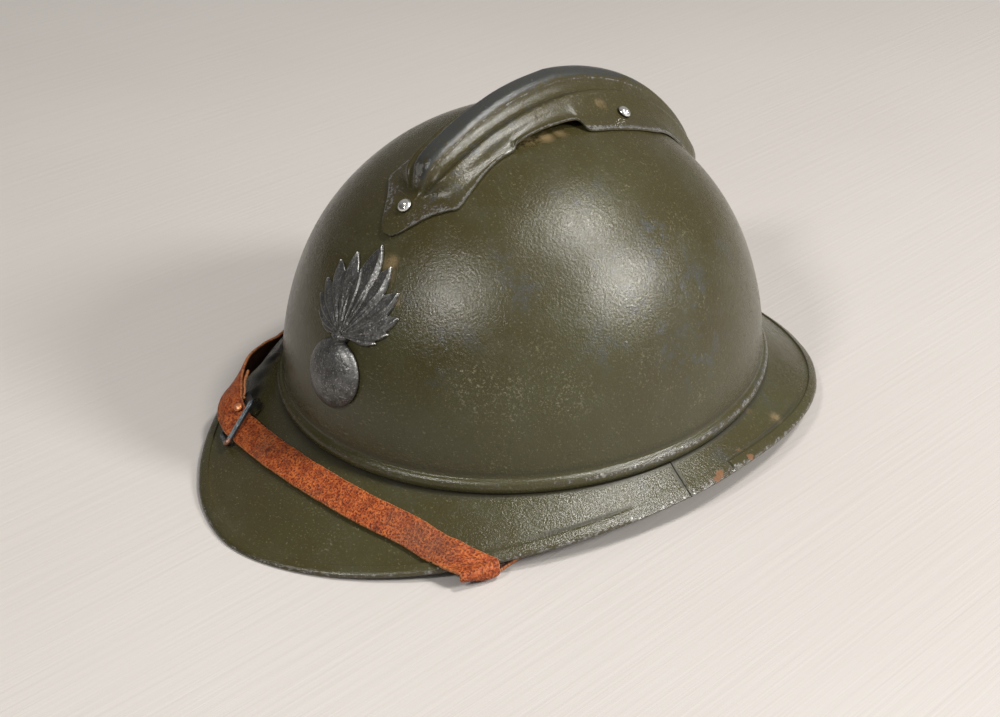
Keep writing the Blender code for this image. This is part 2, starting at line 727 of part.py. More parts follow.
def hidden_rows(start, heading, side, flip):
    """Rows from the fold to the loop inside the bowl, round its bar and back for the stitched end."""
    bar = loop_bar(side)
    wrap = LOOP_WIRE + GAP * 2 + STRAP_THICK / 2
    goal = [bar + Vector((flip * s * STRAP_WIDTH, 0, -wrap)) for s in STRAP_COLUMNS]
    rows = []
    steps = 9
    for k in range(1, steps + 1):
        t = k / steps
        row = []
        for a, d in zip(start, goal):
            long = (d - a).length
            b = a + heading * long * 0.40
            c = d - Vector((0, 1, 0)) * long * 0.40
            row.append(a * (1 - t) ** 3 + b * 3 * t * (1 - t) ** 2 + c * 3 * t * t * (1 - t) + d * t ** 3)
        rows.append(row)
    for turn in (45, 90, 135, 180):
        shift = Vector((0, sin(radians(turn)) * wrap, (1 - cos(radians(turn))) * wrap))
        rows.append([p + shift for p in goal])
    back = [Vector((0, -STRAP_RETURN * k / 2, 2 * wrap)) for k in (1, 2)]
    rows += [[p + shift for p in goal] for shift in back]
    return rows


def strap_rows():
    """The middle surface of the whole strap, from the near loop over the visor to the far loop."""
    run = strap_run(3)
    top = [strap_row(run, i) for i in range(len(run))]
    near = strap_end(top[0], -strap_run_way(run, 0), 1)
    far = strap_end(top[-1], strap_run_way(run, len(run) - 1), -1)
    return near[::-1] + top + far


def strap_end(edge, run, side):
    """The rows past a fold: round the hem, in under the brim and up to the loop."""
    outward = [edge_way(atan2(p.x, -p.y))[1] for p in edge]
    heading = run - outward[1] * 2 * run.dot(outward[1])
    rows = []
    for turn in (45, 90, 135, 180):
        drop = Vector((0, 0, (cos(radians(turn)) - 1) * FOLD_RADIUS))
        rows.append([p + out * sin(radians(turn)) * FOLD_RADIUS + drop for p, out in zip(edge, outward)])
    flip = 1 if (edge[-1].y - edge[0].y) * side > 0 else -1
    return rows + hidden_rows(rows[-1], heading, side, flip)


def thicken(rows, thick):
    """The two faces of a strip whose middle is given, each half the thickness away from it."""
    upper, lower = [], []
    for i, row in enumerate(rows):
        before, after = rows[max(i - 1, 0)], rows[min(i + 1, len(rows) - 1)]
        top, under = [], []
        for j, point in enumerate(row):
            along = after[j] - before[j]
            across = row[min(j + 1, len(row) - 1)] - row[max(j - 1, 0)]
            normal = along.cross(across).normalized()
            top.append(point + normal * thick / 2)
            under.append(point - normal * thick / 2)
        upper.append(top)
        lower.append(under)
    return upper, lower


def make_strap():
    return add_mesh("chin_strap", *sheet_mesh(*thicken(strap_rows(), STRAP_THICK)), LEATHER, 50)


def ring_mesh(corners, round_by, wire, sides=6):
    """A closed frame of round wire through four corners."""
    path = []
    for k, corner in enumerate(corners):
        for other, share in ((corners[k - 1], 1.0), (None, 0.0), (corners[(k + 1) % len(corners)], 1.0)):
            if other is None:
                ends = [corner + (corners[j % len(corners)] - corner).normalized() * round_by
                        for j in (k - 1, k + 1)]
                path.append(corner * 0.42 + (ends[0] + ends[1]) * 0.29)
            else:
                path.append(corner + (other - corner).normalized() * round_by * share)
    centre = sum(corners, Vector()) / len(corners)
    normal = (corners[1] - corners[0]).cross(corners[2] - corners[1]).normalized()
    rings = []
    for k, point in enumerate(path):
        run = (path[(k + 1) % len(path)] - path[k - 1]).normalized()
        side = run.cross(normal).normalized()
        if side.dot(point - centre) < 0:
            side = -side
        rings.append([point + side * wire * cos(2 * pi * j / sides) + normal * wire * sin(2 * pi * j / sides)
                      for j in range(sides)])
    return loops_mesh(rings, closed=True)


def strap_place(angle):
    """Middle, cross direction and outward normal of the strap at an angle of its run."""
    run = strap_run(24)
    i = min(range(1, len(run) - 1), key=lambda k: abs(run[k][0] - angle))
    cross = strap_cross(run, i)
    along = (strap_middle(run[i + 1]) - strap_middle(run[i - 1])).normalized()
    normal = along.cross(cross).normalized()
    return strap_middle(run[i]), cross, (normal if normal.z > 0 else -normal), along


def angle_after(angle, run_length):
    """The angle of the strap's run this far on towards its far fold."""
    run = strap_run(24)
    i = min(range(1, len(run) - 1), key=lambda k: abs(run[k][0] - angle))
    while run_length > 0 and i + 1 < len(run):
        run_length -= (strap_middle(run[i + 1]) - strap_middle(run[i])).length
        i += 1
    return run[i][0]


def buckle_angle():
    return BUCKLE_ANGLE * far_share()


def buckle_corners():
    """The corners of the buckle's frame: its near bar over the strap, its far one under it."""
    clear = STRAP_THICK / 2 + BUCKLE_CLEAR + BUCKLE_WIRE
    near, near_cross, near_normal, _ = strap_place(buckle_angle())
    far, far_cross, far_normal, _ = strap_place(angle_after(buckle_angle(), BUCKLE_SPAN))
    cross = (near_cross + far_cross).normalized()
    cross.rotate(Matrix.Rotation(radians(BUCKLE_SKEW), 3, near_normal + far_normal))
    half = BUCKLE_WIDTH / 2 - BUCKLE_WIRE
    near, far = near + near_normal * clear, far - far_normal * clear
    return [near - cross * half, near + cross * half, far + cross * half, far - cross * half]


def make_buckle():
    """A wire frame that the strap weaves through."""
    return add_mesh("buckle_frame", *ring_mesh(buckle_corners(), FRAME_CORNER, BUCKLE_WIRE), BLACK_IRON, 60)


def make_stud():
    """The small domed stud in the leather inside the buckle."""
    place, cross, normal, _ = strap_place(angle_after(buckle_angle(), BUCKLE_SPAN * 0.80))
    seat = place + cross * STRAP_WIDTH * STUD_SIDE + normal * (STRAP_THICK / 2 + GAP * 2.5)
    rim = STUD_DOME * 0.3
    outline = [(0, STUD_RADIUS * 0.9), (rim, STUD_RADIUS)]
    outline += [(rim + STUD_DOME * 0.7 * sin(radians(a)), STUD_RADIUS * cos(radians(a))) for a in (35, 65, 82)]
    return add_mesh("strap_stud", *turned_mesh(seat, normal, outline, 10), COPPER, 50)


def loop_bar(side):
    """The middle of the bar that the strap's end goes round, inside the bowl."""
    return Vector((side * loop_reach(), LOOP_STATION, BOWL_FOOT + LOOP_HEIGHT))


def loop_reach():
    """How far from the middle the loop's bar is centred, to lie against the bowl's inner wall."""
    wall = BOWL_WIDTH / 2 - BEAD_STEP - STEEL
    return wall - 3.7 * LOOP_WIRE - STRAP_WIDTH / 2 - LOOP_CLEAR


def make_loop(name, side):
    """A wire loop against the inner wall, whose front bar carries the strap's end."""
    bar = loop_bar(side)
    half = STRAP_WIDTH / 2 + LOOP_SIDE
    corners = [bar + Vector((x * half, y, 0)) for x, y in ((-1, 0), (1, 0), (1, LOOP_DEEP), (-1, LOOP_DEEP))]
    return add_mesh(name, *ring_mesh(corners, FRAME_CORNER, LOOP_WIRE), BLACK_IRON, 60)


for old in list(bpy.data.objects):
    bpy.data.objects.remove(old, do_unlink=True)

PAINT = add_material("olive_paint", (0.092, 0.086, 0.050), 0.0, 0.42)
BARE_STEEL = add_material("bright_steel", (0.62, 0.62, 0.60), 1.0, 0.25)
PEWTER = add_material("dark_pewter", (0.085, 0.09, 0.095), 0.8, 0.42)
LEATHER = add_material("brown_leather", (0.36, 0.10, 0.03), 0.0, 0.60)
BLACK_IRON = add_material("black_iron", (0.05, 0.055, 0.06), 0.8, 0.45)
COPPER = add_material("copper_stud", (0.55, 0.22, 0.10), 0.9, 0.40)

# The pieces hang on one empty, which sets the origin under the middle of the brim.
helmet = bpy.data.objects.new("helmet", None)
helmet.location = (0, (VISOR_REACH - GUARD_REACH) / 2, 0)
bpy.context.collection.objects.link(helmet)

bowl_piece = make_bowl()
comb_piece = make_comb()
make_rivets(bowl_piece, comb_piece)
make_brim("front_visor", -SEAM_ANGLE, SEAM_ANGLE)
make_brim("neck_guard", SEAM_ANGLE, 360 - SEAM_ANGLE)
make_badge()
make_strap()
make_buckle()
make_stud()
make_loop("strap_loop_left", 1)
make_loop("strap_loop_right", -1)
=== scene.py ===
# %% [markdown]
# # A combed steel helmet, dressed for its picture
#
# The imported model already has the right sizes, but only coarse facets and flat colours. In this
# lesson each of its pieces is made again with fine, smooth metal or leather, in exactly the same
# place, and then given a finish from shader nodes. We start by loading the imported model.

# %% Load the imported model
import bpy
import bmesh
from math import acos, asin, atan2, cos, degrees, hypot, pi, radians, sin
from mathutils import Matrix, Vector, noise
from mathutils.bvhtree import BVHTree


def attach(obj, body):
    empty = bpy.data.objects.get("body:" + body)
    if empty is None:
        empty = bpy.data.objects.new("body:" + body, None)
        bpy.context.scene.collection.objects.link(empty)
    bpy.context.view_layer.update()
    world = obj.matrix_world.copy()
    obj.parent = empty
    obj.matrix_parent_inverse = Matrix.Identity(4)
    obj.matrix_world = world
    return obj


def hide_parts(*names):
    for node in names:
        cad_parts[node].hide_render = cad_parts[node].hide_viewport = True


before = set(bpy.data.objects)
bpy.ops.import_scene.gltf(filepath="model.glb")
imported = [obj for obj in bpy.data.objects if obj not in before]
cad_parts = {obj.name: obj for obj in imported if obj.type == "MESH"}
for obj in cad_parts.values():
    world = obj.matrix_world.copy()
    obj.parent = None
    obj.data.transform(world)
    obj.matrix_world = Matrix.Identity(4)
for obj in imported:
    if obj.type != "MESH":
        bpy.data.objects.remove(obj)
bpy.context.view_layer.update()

print("packed pieces:", sorted(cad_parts))

# %% [markdown]
# ## The camera
#
# A photographer stood a little above the helmet and to its left front. A camera in Blender looks
# along its own -Z, with +Y up in the picture, so its matrix is three directions side by side: to the
# right, up, and back towards the photographer. Working them out from a compass angle, a pitch and a
# slight roll keeps them exact. Depth of field stays off, so every part is sharp.

# %% Stand the camera
PICTURE = (1000, 717)           # columns and rows
FOCAL_PIXELS, SENSOR_MM = 1666.894, 36
turn, pitch, roll = radians(46.1316), radians(30.7472), radians(-0.3559)
back = Vector((sin(turn) * cos(pitch), -cos(turn) * cos(pitch), sin(pitch)))
level = Vector((cos(turn), sin(turn), 0))
upward = back.cross(level)
right = level * cos(roll) + upward * sin(roll)
upright = upward * cos(roll) - level * sin(roll)
eye = Vector((0.44223347, -0.42677638, 0.38919837))


def put_in(name, data):
    """Stands a new object with this data in the scene."""
    thing = bpy.data.objects.new(name, data)
    bpy.context.collection.objects.link(thing)
    return thing


lens = bpy.data.cameras.new("picture_camera")
lens.sensor_width = SENSOR_MM
lens.lens = SENSOR_MM * FOCAL_PIXELS / PICTURE[0]
lens.clip_start = 0.01
camera = put_in("picture_camera", lens)
camera.matrix_world = Matrix((
    (right.x, upright.x, back.x, eye.x),
    (right.y, upright.y, back.y, eye.y),
    (right.z, upright.z, back.z, eye.z),
    (0, 0, 0, 1)))
bpy.context.scene.camera = camera
print("lens", round(lens.lens, 2), "mm, camera", round(eye.length, 3), "m from the origin")


def sight(column, row):
    """The direction in which the camera looks at a place of the picture."""
    across = (column - PICTURE[0] / 2) / FOCAL_PIXELS
    up = (PICTURE[1] / 2 - row) / FOCAL_PIXELS
    return (right * across + upright * up - back).normalized()


# %% [markdown]
# ## The helmet's sizes
#
# A fine surface that should lie on a coarse one has to follow the same curve. So the sizes and the
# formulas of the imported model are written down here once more, in metres. Angles go round the
# helmet from its front, and stations run over its middle from the front foot of the bowl (0) over
# the crown (90) to the back foot (180).

# %% Sizes of the sheet metal
STEEL = 0.0010
GAP = 0.0003
BOWL_WIDTH, BOWL_LENGTH, BOWL_HEIGHT, BOWL_FOOT = 0.2000, 0.2194, 0.1111, 0.0195
BEAD_RADIUS, BEAD_PROUD, BEAD_STEP, BEAD_TALL = 0.0035, 0.0006, 0.0019, 0.0082
VENT_LENGTH, VENT_WIDTH = 0.050, 0.008
BRIM_HALF, VISOR_REACH, GUARD_REACH, SIDE_RISE = 0.1130, 0.1595, 0.1327, 0.0108
HEM_WIDTH, HEM_THICK, HEM_WORN, TUCK = 0.0050, 0.0026, 0.00025, 0.0050
SEAM_ANGLE, SEAM_GAP = 80.0, 0.0004
BOWL_FORM = {"front": (2.03, 2.24), "side": (2.13, 2.16), "back": (2.33, 2.00)}
BRIM_FORM = {"visor": 1.81, "guard": 2.34}
RISE_POWER, BRIM_HOLLOW = 1.48, 0.92

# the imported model's origin lies under the middle of the brim, the formulas' one under the bowl's
SHIFT = Vector((0, (VISOR_REACH - GUARD_REACH) / 2, 0))
print("the bowl's middle lies", round(SHIFT.y * 1000, 1), "mm behind the origin")


# %% Curves of the bowl
def on_plan(angle, reach, height):
    """The point at this angle from the front, this far from the bowl's axis."""
    return Vector((reach * sin(angle), -reach * cos(angle), height))


def by_side(angle, front, side, back_end):
    """A value that changes smoothly round the bowl between its front, its sides and its back."""
    end = front if cos(angle) > 0 else back_end
    return side + (end - side) * cos(angle) ** 2


def foot_radius(angle):
    return 1 / hypot(sin(angle) / (BOWL_WIDTH / 2), cos(angle) / (BOWL_LENGTH / 2))


def bowl_form(angle):
    """How full the bowl is at this angle: the powers of its curve, in plan and upwards."""
    front, side, rear = (BOWL_FORM[k] for k in ("front", "side", "back"))
    return tuple(by_side(angle, front[k], side[k], rear[k]) for k in (0, 1))


def bowl_wall(angle, climb, inward=0.0):
    """A point of the bowl's outer wall, or this far inside it; climb is 0 at the foot, 90 at the top."""
    flat, rise = bowl_form(angle)
    lean = radians(climb)
    reach = (foot_radius(angle) - BEAD_STEP - inward) * max(cos(lean), 0) ** (2 / flat)
    return on_plan(angle, reach, BOWL_FOOT + (BOWL_HEIGHT - inward) * sin(lean) ** (2 / rise))


def outside_bowl(point):
    """How far the point lies above the bowl's outer wall, straight up; far outside it, 1."""
    angle = atan2(point.x, -point.y)
    flat, rise = bowl_form(angle)
    share = hypot(point.x, point.y) / (foot_radius(angle) - BEAD_STEP)
    if share >= 1:
        return 1.0
    return point.z - BOWL_FOOT - BOWL_HEIGHT * sin(acos(share ** (flat / 2))) ** (2 / rise)


def middle_point(station):
    return bowl_wall(0, station) if station <= 90 else bowl_wall(pi, 180 - station)


def middle_normal(station):
    run = middle_point(station + 0.5) - middle_point(station - 0.5)
    return Vector((0, -run.z, run.y)).normalized()


HALVINGS = 20       # the wall is looked for by halving a depth this often


def over_bowl(station, across, height):
    """The point this far to the side of the middle line, and this high over the wall."""
    normal = middle_normal(station)
    start = middle_point(station) + Vector((across, 0, 0))
    low, high = 0.0, BOWL_HEIGHT / 2
    for _ in range(HALVINGS):
        depth = (low + high) / 2
        if outside_bowl(start - normal * depth) > 0:
            low = depth
        else:
            high = depth
    return start - normal * (low - height)


def station_after(station, run):
    """The station this far along the wall from another one."""
    step = 0.25 if run > 0 else -0.25
    left = abs(run)
    while left > 0:
        piece = (middle_point(station + step) - middle_point(station)).length
        station += step * min(1, left / piece)
        left -= piece
    return station


def smooth_rows(rows, steps):
    """Rows read from a smooth curve through the given ones, with this many steps to each."""
    out = []
    for i in range(len(rows) - 1):
        a, b, c, d = (rows[min(max(i + k, 0), len(rows) - 1)] for k in (-1, 0, 1, 2))
        for s in range(steps):
            t = s / steps
            out.append(tuple(0.5 * (2 * q + (r - p) * t + (2 * p - 5 * q + 4 * r - e) * t * t
                                    + (3 * q - p - 3 * r + e) * t ** 3)
                             for p, q, r, e in zip(a, b, c, d)))
    out.append(tuple(rows[-1]))
    return out


# %% Curves of the bead and the brim
BEAD_TURNS = (-50, -25, 0, 25, 48, 65)      # places round the bead's section, in degrees


def bead_rows(angle):
    """The outer outline of the bead from its foot up to the wall, as (reach, height)."""
    foot = foot_radius(angle)
    middle = (foot + BEAD_PROUD - BEAD_RADIUS,
              BOWL_FOOT + GAP + BEAD_RADIUS * sin(radians(-BEAD_TURNS[0])))
    rows = [(middle[0] + BEAD_RADIUS * cos(radians(a)), middle[1] + BEAD_RADIUS * sin(radians(a)))
            for a in BEAD_TURNS]
    wall = foot - BEAD_STEP
    reach, height = rows[-1]
    rows.append((wall + 0.2 * (reach - wall), height + 0.3 * (BOWL_FOOT + BEAD_TALL - height)))
    return rows


def edge_radius(angle):
    """How far the brim's edge lies from the bowl's axis at this angle."""
    visor, guard = (VISOR_REACH, BRIM_FORM["visor"]), (GUARD_REACH, BRIM_FORM["guard"])
    reach, form = visor if cos(angle) > 0 else guard
    return (abs(sin(angle) / BRIM_HALF) ** form + abs(cos(angle) / reach) ** form) ** (-1 / form)


def edge_rise(angle):
    """How high the brim's edge stands over the table; it rises at both temples."""
    reach = VISOR_REACH if cos(angle) > 0 else GUARD_REACH
    share = edge_radius(angle) * cos(angle) / reach
    return SIDE_RISE * max(1 - share * share, 0) ** RISE_POWER


def brim_slope(angle):
    return atan2(BOWL_FOOT - edge_rise(angle), edge_radius(angle) - foot_radius(angle)) * BRIM_HOLLOW


# the folded edge in section: share of its width in from the edge, share of half its thickness up
HEM_ROWS = ((1.04, 0.38), (1.00, 0.44), (0.975, 0.80), (0.94, 0.93), (0.72, 1.00), (0.40, 0.97),
            (0.24, 0.90), (0.12, 0.70), (0.04, 0.42), (0.00, 0.00), (0.04, -0.42), (0.12, -0.70),
            (0.24, -0.90), (0.72, -1.00), (0.94, -0.93), (0.975, -0.80), (1.00, -0.44), (1.04, -0.38))
HEM_EDGE = HEM_ROWS.index((0.00, 0.00))


def hem_rows(angle):
    """The outline of the folded edge, top to underside, as (reach, height)."""
    slope = brim_slope(angle)
    flat = [(-s * HEM_WIDTH * cos(slope) + h * HEM_THICK / 2 * sin(slope),
             s * HEM_WIDTH * sin(slope) + h * HEM_THICK / 2 * cos(slope)) for s, h in HEM_ROWS]
    drop = -min(z for _, z in flat) - HEM_WORN
    reach, rise = edge_radius(angle), edge_rise(angle) + drop
    return [(reach + r, max(rise + z, 0.0)) for r, z in flat]


def brim_top(angle, share):
    """Height of the brim's upper side at a share of the way from the bowl's foot to its edge."""
    first = hem_rows(angle)[0]
    foot = foot_radius(angle)
    part = (first[0] - foot) / (edge_radius(angle) - foot)
    return BOWL_FOOT + (first[1] - BOWL_FOOT) * max(share, 0) ** BRIM_HOLLOW / part ** BRIM_HOLLOW


def over_brim(angle, share, lift):
    """The point over the brim at this share of the way to the edge, this high above it."""
    foot = foot_radius(angle)
    hem = HEM_WIDTH / (edge_radius(angle) - foot)
    bump = (HEM_THICK - STEEL) / 2 * min(max((share - 1 + 1.6 * hem) / (0.6 * hem), 0), 1)
    return on_plan(angle, foot + (edge_radius(angle) - foot) * share, brim_top(angle, share) + lift + bump)


# %% [markdown]
# ## Turning points into pieces
#
# Every piece below is a list of points and faces. One helper makes the mesh and turns its normals
# outwards. The next shades it smooth except at sharp folds, lets it ride on the helmet's one body,
# and hides the imported pieces that it stands for. Two more write a value between 0 and 1 on each
# point, such as how worn it is, which the shader nodes read back as an attribute.

# %% Helpers for the pieces
def clamp(value, low=0.0, high=1.0):
    return min(max(value, low), high)


def soft(value, low, high):
    """0 below low, 1 above high and a smooth rise between."""
    t = clamp((value - low) / (high - low))
    return t * t * (3 - 2 * t)


def upwards(way):
    return -way if way.z < 0 else way


def solid_mesh(name, points, faces):
    """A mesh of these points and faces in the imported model's place, its normals turned outwards."""
    mesh = bpy.data.meshes.new(name)
    mesh.from_pydata([tuple(p + SHIFT) for p in points], [], faces)
    work = bmesh.new()
    work.from_mesh(mesh)
    bmesh.ops.recalc_face_normals(work, faces=work.faces)
    work.to_mesh(mesh)
    work.free()
    return mesh


def shade(mesh, sharp):
    """Smooth, except where two faces meet at more than this many degrees."""
    mesh.shade_smooth()
    mesh.set_sharp_from_angle(angle=radians(sharp))


def make_piece(name, points, faces, finishes, slot, stands_for, sharp):
    mesh = solid_mesh(name, points, faces)
    shade(mesh, sharp)
    for finish in finishes:
        mesh.materials.append(finish)
    piece = put_in(name, mesh)
    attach(piece, "root")
    if stands_for:
        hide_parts(*stands_for)
    print(name, len(mesh.vertices), "points", len(mesh.polygons), "faces")
    return piece


def write_values(piece, name, values):
    """Writes a value on the first points of a piece; the others keep 0."""
    kept = piece.data.attributes.new(name, "FLOAT", "POINT")
    for value, place in zip(values, kept.data):
        place.value = clamp(value)


def mark(piece, name, rule):
    """Writes a value on each point of a piece, worked out from where the point lies."""
    write_values(piece, name, [rule(point.co - SHIFT) for point in piece.data.vertices])


def loops_mesh(loops, closed=False):
    """Points and faces of a solid swept through outlines of equal count; open ends are capped."""
    count = len(loops[0])
    points = [p for loop in loops for p in loop]
    faces = []
    for i in range(len(loops) if closed else len(loops) - 1):
        a, b = i * count, (i + 1) % len(loops) * count
        faces += [(a + j, a + (j + 1) % count, b + (j + 1) % count, b + j) for j in range(count)]
    if not closed:
        last = (len(loops) - 1) * count
        faces += [tuple(range(count)), tuple(last + j for j in reversed(range(count)))]
    return points, faces


def sheet_mesh(upper, lower):
    """Points and faces of a solid sheet between two grids of equal size; the upper faces come first."""
    rows, columns = len(upper), len(upper[0])
    points = [p for row in upper for p in row] + [p for row in lower for p in row]
    under = rows * columns
    quads = [(i * columns + j, i * columns + j + 1, (i + 1) * columns + j + 1, (i + 1) * columns + j)
             for i in range(rows - 1) for j in range(columns - 1)]
    faces = quads + [tuple(under + k for k in reversed(quad)) for quad in quads]
    rim = list(range(columns)) + [i * columns + columns - 1 for i in range(1, rows)]
    rim += [(rows - 1) * columns + j for j in range(columns - 2, -1, -1)]
    rim += [i * columns for i in range(rows - 2, 0, -1)]
    faces += [(a, under + a, under + b, b) for a, b in zip(rim, rim[1:] + rim[:1])]
    return points, faces


def turned_rings(origin, axis, outline, sides):
    """Rings of a turned solid: outline is (height along the axis, radius) from end to end."""
    across = axis.orthogonal().normalized()
    along = axis.cross(across)
    return [[origin + axis * height + across * radius * cos(2 * pi * k / sides)
             + along * radius * sin(2 * pi * k / sides) for k in range(sides)]
            for height, radius in outline]


# %% [markdown]
# ## Building finishes from nodes
#
# A finish is a small graph: noise textures give cloudiness, specks and scratches, ramps turn them
# into masks, and masks mix one colour into another. Writing every link by hand is long, so a class
# keeps the graph and gives each kind of step one plain word. Textures read the object's own
# coordinates in metres, so a scale of 900 means grains of about a millimetre.

# %% Graphs and finishes as classes
class Graph:
    """A node tree that is put together step by step; each step returns the socket to go on from."""

    def __init__(self, tree):
        self.tree = tree

    def feed(self, socket, value):
        """Puts a value, a colour or another node's output on a socket."""
        if isinstance(value, bpy.types.NodeSocket):
            self.tree.links.new(value, socket)
        elif isinstance(value, tuple) and len(value) == 3 and socket.type == "RGBA":
            socket.default_value = (*value, 1)
        else:
            socket.default_value = value

    def add(self, kind, inputs, **settings):
        """A new node of this kind, with its settings and with what goes into it."""
        node = self.tree.nodes.new("ShaderNode" + kind)
        for name, setting in settings.items():
            setattr(node, name, setting)
        for name, value in inputs.items():
            self.feed(node.inputs[name], value)
        return node

    def math(self, kind, a, b, hold=False):
        return self.add("Math", {0: a, 1: b}, operation=kind, use_clamp=hold).outputs[0]

    def times(self, a, b):
        return self.math("MULTIPLY", a, b)

    def plus(self, a, b, hold=False):
        return self.math("ADD", a, b, hold)

    def minus(self, a, b):
        return self.math("SUBTRACT", a, b)

    def most(self, a, b):
        return self.math("MAXIMUM", a, b)

    def ramp(self, value, low, high, start=0.0, end=1.0):
        """Start below low, end above high, and a smooth rise between them."""
        limits = {"Value": value, "From Min": low, "From Max": high, "To Min": start, "To Max": end}
        return self.add("MapRange", limits, interpolation_type="SMOOTHSTEP").outputs["Result"]


class Finish(Graph):
    """The graph of a material."""

    def __init__(self, name):
        self.material = bpy.data.materials.new(name)
        self.material.use_nodes = True
        super().__init__(self.material.node_tree)
        self.shader = self.tree.nodes["Principled BSDF"]
        self.place = self.add("TexCoord", {}).outputs["Object"]

    def noise(self, scale, detail=4, rough=0.55, stretch=None, tilt=(0, 0, 0), place=None):
        """Noise of so many waves to the metre; stretch and tilt draw it out into threads."""
        place = place or self.place
        if stretch or any(tilt):
            turned = {"Vector": place, "Rotation": [radians(a) for a in tilt], "Scale": stretch or (1, 1, 1)}
            place = self.add("Mapping", turned).outputs["Vector"]
        waves = {"Vector": place, "Scale": scale, "Detail": detail, "Roughness": rough}
        return self.add("TexNoise", waves).outputs["Fac"]

    def cells(self, scale, place):
        """The distance to the nearest border in a net of cells."""
        net = self.add("TexVoronoi", {"Vector": place, "Scale": scale}, feature="DISTANCE_TO_EDGE")
        return net.outputs["Distance"]

    def mix(self, share, a, b):
        node = self.add("Mix", {}, data_type="RGBA", clamp_factor=True)
        for place, value in ((0, share), (6, a), (7, b)):       # factor, and the two colours
            self.feed(node.inputs[place], value)
        return node.outputs[2]

    def lay(self, colour, mask, strength, other):
        """Lays another colour over this one where the mask is, so strongly."""
        return self.mix(self.times(mask, strength), colour, other)

    def worn(self, name, output="Fac"):
        """Reads a value that was written on the points."""
        return self.add("Attribute", {}, attribute_name=name).outputs[output]

    def patch(self, name, speckle, low, high, spread):
        """A marked area whose border breaks up along a speckle."""
        loose = self.times(self.minus(speckle, 0.5), spread)
        here = self.plus(self.worn(name), loose)
        present = self.ramp(self.worn(name), 0.01, 0.12)
        return self.times(self.ramp(here, low, high), present)

    def bump(self, height, deep, over=None):
        """Bumps this deep in metres, on top of the ones that are there already."""
        inputs = {"Strength": 1.0, "Distance": deep, "Height": height}
        if over is not None:
            inputs["Normal"] = over
        return self.add("Bump", inputs).outputs["Normal"]

    def finish(self, colour, metal, rough, normal):
        for name, value in (("Base Color", colour), ("Metallic", metal), ("Roughness", rough),
                            ("Normal", normal)):
            self.feed(self.shader.inputs[name], value)
        return self.material


# %% [markdown]
# ## Olive paint on old steel
#
# The helmet was sprayed with a satin olive paint long ago. Where hands and tables rubbed it, the
# paint has thinned to blue-grey steel, the edges shine and rust shows under the rim. Dust sits in the
# seams, and shade and highlights are painted along some creases and ribs; some rubbed and scuffed
# patches also paint a sheen. The colour is laid in that order: cloudy paint, specks, scratches, thin
# patches, bare edges and painted highlights, rust, and dirt and painted shade. The orange-peel of the
# spray is a fine bump, which breaks up highlights.

# %% The paint
OLIVE = (0.041, 0.038, 0.0145)
OLIVE_BROWN = (0.036, 0.030, 0.0105)
OLIVE_GREY = (0.047, 0.047, 0.027)
DARK_SPECK = (0.024, 0.019, 0.009)
PALE_SPECK = (0.17, 0.15, 0.085)
SCRATCH = (0.23, 0.21, 0.14)
TAN_RUB = (0.22, 0.155, 0.080)
BLUE_STEEL = (0.058, 0.067, 0.080)
BLACK_STEEL = (0.028, 0.030, 0.031)
PRIMER = (0.042, 0.033, 0.024)
BRIGHT_EDGE = (0.22, 0.22, 0.205)
RUST = (0.150, 0.058, 0.016)
DIRT_AND_SHADE = (0.012, 0.010, 0.006)


